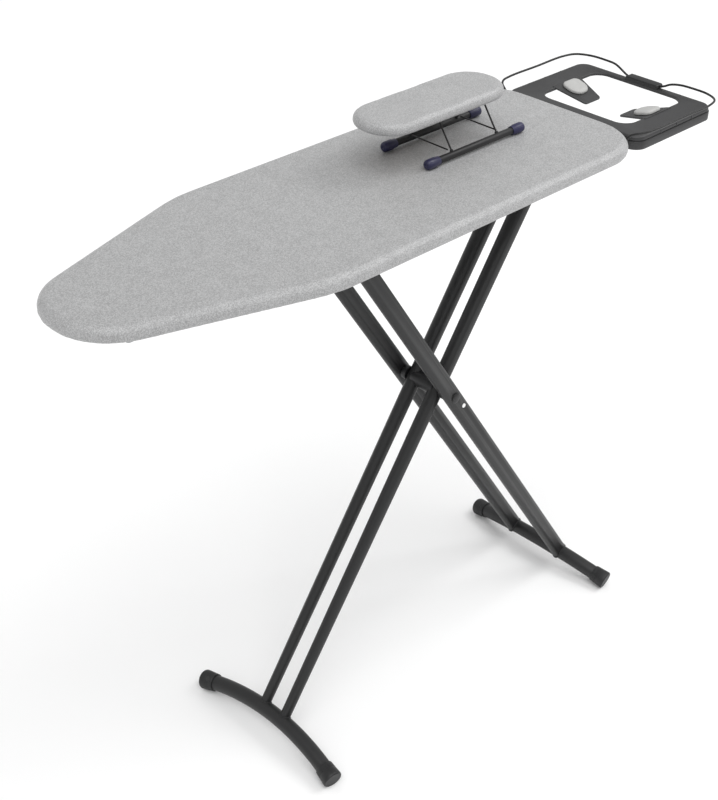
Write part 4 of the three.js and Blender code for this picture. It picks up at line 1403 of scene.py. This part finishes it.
@dataclass
class Leg:
    """One leg: two tubes, an arched foot with flared caps, and what joins them."""

    name: str
    body: Body
    lean: int
    tube_spacing: float
    tube_depth: float
    tube_width: float
    foot_radius: float = 14.2 * MM
    foot_ring: int = 32
    cap_length: float = 27 * MM
    cap_wall: float = 2.0 * MM
    cap_flare: float = 1.8 * MM
    cap_reach: float = 3.0 * MM
    gap: float = 0.3 * MM

    def build(self) -> None:
        """Makes the foot, its caps and welds, and finishes the tubes."""
        for side in Side:
            soften(f"{self.name}_tube_{side.word}", 0.5 * MM, CHARCOAL)
        path = smooth_path(centre_line(f"{self.name}_foot", self.foot_ring, (0.0, 1.0, 0.0)), 4)
        foot = sweep(f"{self.name}_foot_tube", path, self.foot_radius, 40)
        dress(foot, CHARCOAL, self.body, [f"{self.name}_foot"], crease=60.0)
        self.build_cap(Side.FAR, path[0], path[0] - path[1])
        self.build_cap(Side.NEAR, path[-1], path[-1] - path[-2])
        self.build_welds(path)

    def build_cap(self, side: Side, end: np.ndarray, along: np.ndarray) -> None:
        """The flared plastic cap on one end of the foot, with its sole on the floor."""
        inner = self.foot_radius + self.gap
        outer = self.foot_radius + self.cap_wall
        flared = outer + self.cap_flare
        profile = [(0.0, self.gap), (inner, self.gap), (inner, -self.cap_length)]
        profile += [(outer - 0.6 * MM, -self.cap_length), (outer, 0.8 * MM - self.cap_length)]
        for k in range(3):
            groove = -self.cap_length + (7 + 2.6 * k) * MM
            radius = outer + self.cap_flare * (groove + self.cap_length) / self.cap_length
            profile += [(radius, groove - 0.7 * MM), (radius - 0.5 * MM, groove), (radius, groove + 0.7 * MM)]
        profile += [(flared, -1.5 * MM), (flared, 0.5 * MM), (flared - 0.5 * MM, 1.8 * MM)]
        profile += [(flared - 1.6 * MM, self.cap_reach), (0.5 * flared, self.cap_reach)]
        profile += [(0.0, self.cap_reach)]
        cap = turned(f"{self.name}_foot_tip_{side.word}", profile, end, along, 56)
        for vertex in cap.data.vertices:
            vertex.co.z = max(vertex.co.z, 0.0)
        dress(cap, BLACK, self.body, [f"{self.name}_foot_cap_{side.word}"], crease=40.0)

    def build_welds(self, path: np.ndarray) -> None:
        """Weld ripples where both tubes meet the foot."""
        hinge, pin = joint_place("leg_fold"), joint_place("leg_cross")
        up = hinge - pin
        up[0] *= self.lean
        up /= np.linalg.norm(up)
        forward = np.cross((0.0, 1.0, 0.0), up)
        vertices, edges = [], []
        for side in Side:
            y = side.value * self.tube_spacing / 2
            first = len(vertices)
            count = 48
            for k in range(count):
                angle = 2 * math.pi * k / count
                across = self.tube_depth / 2 * math.cos(angle)
                along_y = y + self.tube_width / 2 * math.sin(angle)
                nearest = path[np.argmin(np.abs(path[:, 1] - along_y))]
                rise = math.sqrt(max(self.foot_radius**2 - across**2, 0.0))
                point = nearest + forward * across + up * rise
                vertices.append((point[0], along_y, point[2]))
                edges.append((first + k, first + (k + 1) % count))
        welds = new_object(f"{self.name}_welds", vertices, edges=edges)
        BEADS.run(
            welds, spacing=1.5 * MM, length=3.2 * MM, width=3.4 * MM, height=2.6 * MM, unevenness=0.12,
            seed=11, material=CHARCOAL.material(),
        )
        dress(welds, CHARCOAL, self.body, crease=60.0)


@dataclass
class CrossedLegs:
    """Both legs with the pin they cross on, the hinge axle and the sliding crossbar."""

    narrow: Leg = field(default_factory=lambda: Leg("narrow", Body.NARROW_LEG, 1, 51 * MM, 19 * MM, 19 * MM))
    wide: Leg = field(default_factory=lambda: Leg("wide", Body.WIDE_LEG, -1, 120 * MM, 32.4 * MM, 20.6 * MM))

    def build(self) -> None:
        """Builds the legs and finishes what joins them."""
        self.narrow.build()
        self.wide.build()
        soften("hinge_axle", 1.2 * MM, ZINC)
        soften("top_crossbar", 1.2 * MM, ZINC)
        soften("cross_pin", 0.7 * MM, CHARCOAL)
        soften("cross_spacer", 0.8 * MM, BLACK)
        for side in Side:
            soften(f"cross_washer_{side.word}", 0.6 * MM, BLACK)
        soften("tube_plug", 1.0 * MM, NYLON, 3)


# ---------------------------------------------------------------- iron tray


@dataclass
class IronTray:
    """The moulded tray with its two sloping tongues, their pads and the arms that carry it."""

    outer_radius: float = 24 * MM
    inner_radius: float = 24 * MM
    inner_bar: float = 35 * MM
    outer_bar: float = 20 * MM
    end_skirt: float = 11 * MM
    band: float = 51 * MM
    opening_radius: float = 26 * MM
    wall: float = 3 * MM
    deck: float = 4 * MM
    tongue_base: float = 76 * MM
    tongue_tip: float = 43 * MM
    tongue_reach: float = 60 * MM
    tongue_drop: float = 17 * MM
    tongue_thickness: float = 3.4 * MM
    tongue_from_start: float = 118 * MM
    pad_length: float = 43 * MM
    pad_width: float = 40 * MM
    pad_height: float = 7.5 * MM
    pad_start: float = -1 * MM
    step_drop: float = 8.5 * MM
    step_inset: float = 2.6 * MM
    top_inset: float = 1.5 * MM
    top_round: float = 5.0 * MM
    window_roll: float = 2.5 * MM
    rib_shares: tuple[float, ...] = (0.3, 0.5, 0.7)

    def build(self) -> None:
        """Makes the tray, its pads and its arms."""
        self.low, self.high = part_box("iron_tray")
        self.build_ring()
        for side in Side:
            self.build_pad(side)
            soften(f"tray_arm_{side.word}", 1.0 * MM, CHARCOAL)

    def plan(self) -> Outline:
        """The tray's outer outline."""
        radii = (self.outer_radius, self.outer_radius, self.inner_radius, self.inner_radius)
        return rectangle(self.low.x, self.high.x, self.low.y, self.high.y, radii)

    def window(self) -> Outline:
        """The opening in its middle."""
        half = self.high.y - self.band
        radii = (self.opening_radius,) * 4
        return rectangle(self.low.x + self.inner_bar, self.high.x - self.outer_bar, -half, half, radii)

    def build_ring(self) -> None:
        """The moulding: a stepped skirt, a rounded top, a rolled window edge and a hollow underside."""
        bottom, top = self.low.z, self.high.z
        skirt = round_under(0.0, bottom, 1.2 * MM, 3)
        step = top - self.step_drop
        skirt += [(0.0, step - 1.0 * MM), (0.4 * MM, step - 0.3 * MM), (self.step_inset, step)]
        skirt += [(self.step_inset, step + 0.9 * MM), (self.top_inset, step + 1.5 * MM)]
        skirt += round_over(self.top_inset, top, self.top_round)
        tray = self.plan().solid("tray_moulding", skirt)
        roll = self.window_roll
        edge = [(0.0, bottom - 5 * MM), (0.0, top - roll)]
        for k in range(1, 5):
            angle = 0.5 * math.pi * k / 4
            edge.append((-roll * (1 - math.cos(angle)), top - roll + roll * math.sin(angle)))
        edge.append((-roll, top + 5 * MM))
        hole = self.window().solid("window", edge)
        ceiling = top - self.deck - 1 * MM
        pocket = self.plan().solid("pocket", [(self.wall, bottom - 5 * MM), (self.wall, ceiling)])
        half = self.high.y - 0.5 * self.outer_radius
        start, end = self.high.x - self.outer_radius, self.high.x + 5 * MM
        under = rectangle(start, end, -half, half, (6 * MM,) * 4)
        undercut = under.solid("undercut", [(0.0, bottom - 5 * MM), (0.0, top - self.end_skirt)])
        boolean(tray, "DIFFERENCE", hole, pocket, undercut)
        boolean(tray, "UNION", *[self.tongue(side) for side in Side], *self.ribs())
        for side in Side:
            low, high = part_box(f"tray_arm_{side.word}")
            radius = (high.z - low.z) / 2 + 0.3 * MM
            centre = (low.x, (low.y + high.y) / 2, (low.z + high.z) / 2)
            reach = high.x - low.x + 1 * MM
            profile = [(0, 0), (radius, 0), (radius, reach), (0, reach)]
            boolean(tray, "DIFFERENCE", turned("bore", profile, centre, (1, 0, 0), 32))
        dress(tray, TRAY, Body.BOARD, ["iron_tray"], crease=32.0)

    def ribs(self) -> list[bpy.types.Object]:
        """Stiffening ribs across both hollow bands, seen from below."""
        made = []
        top = self.high.z - 0.5 * self.deck
        for side in Side:
            for share in self.rib_shares:
                x = self.low.x + share * (self.high.x - self.low.x)
                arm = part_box(f"tray_arm_{side.word}")[1 if side is Side.FAR else 0].y + side.value * 1 * MM
                near, far = sorted((arm, side.value * (self.high.y - 1 * MM)))
                rib = rectangle(x - 1 * MM, x + 1 * MM, near, far, (0.2 * MM,) * 4, arc_steps=2)
                made.append(rib.solid("rib", [(0.0, self.low.z + 3 * MM), (0.0, top)]))
        return made

    def on_tongue(self, side: Side) -> Matrix:
        """From a tongue's own plane, with +Y towards its tip, to its place."""
        slope = math.atan2(self.tongue_drop, self.tongue_reach)
        place = (self.low.x + self.tongue_from_start, side.value * (self.high.y - self.band), self.high.z)
        turn = Matrix.Rotation(math.pi if side is Side.FAR else 0.0, 4, "Z")
        return Matrix.Translation(place) @ Matrix.Rotation(side.value * slope, 4, "X") @ turn

    def tongue(self, side: Side) -> bpy.types.Object:
        """One sloping tongue."""
        run = math.hypot(self.tongue_reach, self.tongue_drop)
        base, tip, back = self.tongue_base / 2, self.tongue_tip / 2, -6 * MM
        corners = ((-base, back), (base, back), (tip, run), (-tip, run))
        plan = Outline(corners, (1 * MM, 1 * MM, 7 * MM, 7 * MM), arc_steps=8, spacing=0.01)
        edge = 0.9 * MM
        profile = round_under(0.0, -self.tongue_thickness, edge, 3) + round_over(0.0, 0.0, edge, 3)
        made = plan.solid("tongue", profile)
        made.data.transform(self.on_tongue(side))
        return made

    def build_pad(self, side: Side) -> None:
        """One domed silicone pad."""
        half, start = self.pad_length / 2, self.pad_start
        finish = start + self.pad_width
        corners = ((-half, start), (half, start), (half, finish), (-half, finish))
        plan = Outline(corners, (12 * MM, 12 * MM, 19.5 * MM, 19.5 * MM), arc_steps=14, spacing=0.006)
        rim = 2.6 * MM
        profile = round_under(0.0, 0.3 * MM, 1.2 * MM, 3)
        for k in range(9):
            angle = 0.5 * math.pi * k / 8
            inset = 11 * MM * (1 - math.cos(angle)) ** 1.3
            profile.append((inset, rim + (self.pad_height - rim) * math.sin(angle)))
        pad = plan.solid(f"silicone_pad_{side.word}", profile)
        pad.data.transform(self.on_tongue(side))
        dress(pad, PAD, Body.BOARD, [f"rest_pad_{side.word}"], crease=50.0)


@dataclass
class WireRail:
    """The wire rail round the tray and the clip that holds it down."""

    radius: float = 2.0 * MM

    def build(self) -> None:
        """Makes the rail from its CAD centre line and finishes the clip."""
        path = smooth_path(centre_line("rail_wire", 6, (-1.0, 0.01, 0.0)), 3)
        rail = sweep("tray_rail", path, self.radius, 14)
        dress(rail, WIRE, Body.BOARD, ["rail_wire"], crease=60.0)
        soften("rail_clip", 1.6 * MM, BLACK, 3)


# ---------------------------------------------------------------- sleeve board and its stand


@dataclass
class SleeveBoard:
    """The small padded board with its plywood and the clips of its stand."""

    corner_radius: float = 53 * MM
    lip: float = 22 * MM
    inset: float = 2.3 * MM
    ply_inset: float = 2.4 * MM
    ply_under_round: float = 3.0 * MM

    def build(self) -> None:
        """Makes the cover, pad, plywood and clips."""
        low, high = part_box("sleeve_cover")
        outline = rectangle(low.x, high.x, low.y, high.y, (self.corner_radius,) * 4, arc_steps=20)
        inflation = Inflation(voxel=3.5 * MM, cap=1.8 * MM)
        PaddedCover(
            "sleeve_cover_cloth", "sleeve_cover", outline, self.lip, Body.SLEEVE, inflation,
            wall=1.0 * MM, under_wall=1.8 * MM, top_round=10.5 * MM,
            under_round=6.5 * MM, gather_pitch=11 * MM, gather_depth=0.5 * MM,
        ).build()
        low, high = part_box("sleeve_pad")
        profile = upper_part(round_over(self.inset, high.z, 10.7 * MM), low.z)
        foam = outline.solid("sleeve_foam", profile)
        dress(foam, FOAM, Body.SLEEVE, ["sleeve_pad"])
        low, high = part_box("sleeve_deck")
        edge = 0.8 * MM
        inset = self.inset + self.ply_inset
        profile = round_under(inset, low.z, self.ply_under_round) + round_over(inset, high.z, edge, 2)
        dress(outline.solid("sleeve_plywood", profile), PLY, Body.SLEEVE, ["sleeve_deck"])
        places = []
        for end in End:
            node = f"frame_clip_{end.word}"
            soften(node, 1.0 * MM, BLACK, 3)
            low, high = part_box(node)
            middle = (low.x + high.x) / 2
            places.append((middle, (low.y + high.y) / 2, low.z))
        place_heads("clip_screws", screw_head("screw", 3.4 * MM, 2.0 * MM), places, ZINC, Body.SLEEVE)


@dataclass
class FoldingStand:
    """The wire stand: two hinged frames, each in a plastic foot tube with soft caps, and two braces."""

    wire_radius: float = 1.5 * MM
    brace_radius: float = 1.3 * MM
    tube_radius: float = 6.0 * MM
    cap_radius: float = 8.5 * MM
    cap_length: float = 24 * MM
    cap_reach: float = 5.2 * MM
    gap: float = 0.3 * MM

    def build(self) -> None:
        """Makes both sides and the braces."""
        for side, body in ((Side.NEAR, Body.NEAR_STAND), (Side.FAR, Body.FAR_STAND)):
            self.build_frame(side, body)
            soften(f"{side.word}_stand_tube", 0.5 * MM, BLACK)
            for end in End:
                self.build_cap(side, end, body)
        for end in End:
            low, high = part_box(f"brace_wire_{end.word}")
            x, z = (low.x + high.x) / 2, (low.z + high.z) / 2
            profile = rounded(self.brace_radius, high.y - low.y, 0.6 * MM)
            brace = turned(f"brace_{end.word}", profile, (x, low.y, z), (0.0, 1.0, 0.0), 14)
            dress(brace, WIRE, Body.BRACES, [f"brace_wire_{end.word}"])

    def build_frame(self, side: Side, body: Body) -> None:
        """One bent wire frame with rubber grommets where it enters its tube."""
        node = f"{side.word}_wire_frame"
        line = centre_line(node, 6, (-0.01, side.value * 0.58, -0.81))
        frame_wire = sweep(f"{side.word}_frame_wire", smooth_path(line, 4), self.wire_radius, 14)
        dress(frame_wire, WIRE, body, [node], crease=60.0)
        for number, (end, after) in enumerate(((line[0], line[1]), (line[-1], line[-2]))):
            along = (after - end) / np.linalg.norm(after - end)
            start = end + along * (self.tube_radius - 1.0 * MM)
            grommet = turned(
                f"{side.word}_grommet_{number + 1}", rounded(3.0 * MM, 3.4 * MM, 1.0 * MM), start, along, 24,
            )
            dress(grommet, BLACK, body)

    def build_cap(self, side: Side, end: End, body: Body) -> None:
        """One soft navy cap with a rounded, dimpled end."""
        node = f"{side.word}_stand_cap_{end.word}"
        low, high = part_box(node)
        tip = high.x if end is End.TAIL else low.x
        start = (tip - end.value * self.cap_reach, (low.y + high.y) / 2, (low.z + high.z) / 2)
        inner, outer = self.tube_radius + self.gap, self.cap_radius
        profile = [(0.0, self.gap), (inner, self.gap), (inner, -self.cap_length)]
        profile += [(outer - 1.6 * MM, -self.cap_length), (outer - 1.1 * MM, 0.6 * MM - self.cap_length)]
        profile += [(outer - 1.0 * MM, -self.cap_length + 7 * MM), (outer, -self.cap_length + 9 * MM)]
        profile += [(outer, -1.5 * MM), (0.97 * outer, 0.6 * MM), (0.88 * outer, 2.6 * MM)]
        profile += [(0.7 * outer, 4.3 * MM), (0.5 * outer, 5.1 * MM), (0.38 * outer, 5.2 * MM)]
        profile += [(0.3 * outer, 4.9 * MM), (0.2 * outer, 4.2 * MM), (0.0, 4.0 * MM)]
        cap = turned(f"{side.word}_soft_cap_{end.word}", profile, start, (end.value, 0.0, 0.0), 60, flutes=10)
        dress(cap, NAVY, body, [node], crease=50.0)


# ---------------------------------------------------------------- studio


@dataclass
class Studio:
    """Pale floor, soft light and the camera."""

    camera_place: tuple[float, float, float] = (-1.545, -1.4481, 1.9641)
    azimuth: float = -45.26
    elevation: float = 33.04
    roll: float = 1.05
    lens: float = 66.79
    shift: tuple[float, float] = (0.0016, -0.0039)
    floor_size: float = 60.0
    middle_height: float = 0.6
    world_strength: float = 0.62

    def build(self) -> None:
        """Sets up everything round the object."""
        self.build_camera()
        self.build_floor()
        self.build_world()
        self.build_sun((-0.28, -0.3, 0.91), 1.4, 50.0)
        self.build_softbox((0.6, -0.3, 0.74), 4.2, 2.0, 52.0)
        bpy.context.scene.view_settings.view_transform = "Standard"

    def build_camera(self) -> None:
        """The camera at the studio's angle."""
        azimuth, elevation, roll = (math.radians(a) for a in (self.azimuth, self.elevation, self.roll))
        level = math.cos(elevation)
        back = Vector((math.sin(azimuth) * level, -math.cos(azimuth) * level, math.sin(elevation)))
        right = (-back).cross(Vector((0.0, 0.0, 1.0))).normalized()
        up = back.cross(right)
        turned_right = right * math.cos(roll) + up * math.sin(roll)
        turned_up = up * math.cos(roll) - right * math.sin(roll)
        data = bpy.data.cameras.new("camera")
        data.lens = self.lens
        data.shift_x, data.shift_y = self.shift
        data.clip_end = 200.0
        camera = bpy.data.objects.new("camera", data)
        bpy.context.scene.collection.objects.link(camera)
        turn = Matrix((turned_right, turned_up, back)).transposed().to_4x4()
        camera.matrix_world = Matrix.Translation(self.camera_place) @ turn
        bpy.context.scene.camera = camera

    def build_floor(self) -> None:
        """A wide, plain floor."""
        half = self.floor_size / 2
        corners = [(-half, -half, 0), (half, -half, 0), (half, half, 0), (-half, half, 0)]
        floor = new_object("studio_floor", corners, [(0, 1, 2, 3)])
        floor.data.materials.append(PAPER.material())

    def build_world(self) -> None:
        """An even pale surround."""
        world = bpy.data.worlds.new("studio")
        world.use_nodes = True
        background = world.node_tree.nodes["Background"]
        background.inputs["Color"].default_value = (1.0, 1.0, 1.0, 1.0)
        background.inputs["Strength"].default_value = self.world_strength
        bpy.context.scene.world = world

    def build_sun(self, towards: Colour, strength: float, spread: float) -> None:
        """A broad key light from far away.

        Args:
            towards: Where it stands, as a direction from the object.
            strength: Its strength.
            spread: Its angular size in degrees.
        """
        data = bpy.data.lights.new("key", "SUN")
        data.energy = strength
        data.angle = math.radians(spread)
        self.aim(data, Vector(towards).normalized() * 5.0)

    def build_softbox(self, towards: Colour, distance: float, size: float, power: float) -> None:
        """A square softbox aimed at the board."""
        data = bpy.data.lights.new("softbox", "AREA")
        data.energy = power
        data.size = size
        self.aim(data, Vector(towards).normalized() * distance + Vector((0.0, 0.0, self.middle_height)))

    def aim(self, data: bpy.types.Light, place: Vector) -> None:
        """Puts a light in the scene, facing the middle of the object."""
        light = bpy.data.objects.new(data.name, data)
        bpy.context.scene.collection.objects.link(light)
        middle = Vector((0.0, 0.0, self.middle_height))
        turn = (place - middle).to_track_quat("Z", "Y").to_matrix().to_4x4()
        light.matrix_world = Matrix.Translation(place) @ turn


BEADS = row_generator()
HEADS = fastener_generator()


def main() -> None:
    """Builds the studio and every sub-assembly in order."""
    logging.basicConfig(level=logging.INFO, format="%(name)s: %(message)s")
    Studio().build()
    PaddedBoard().build()
    UnderFrame().build()
    ReleaseLever().build()
    CrossedLegs().build()
    IronTray().build()
    WireRail().build()
    SleeveBoard().build()
    FoldingStand().build()


if __name__ == "__main__":
    main()
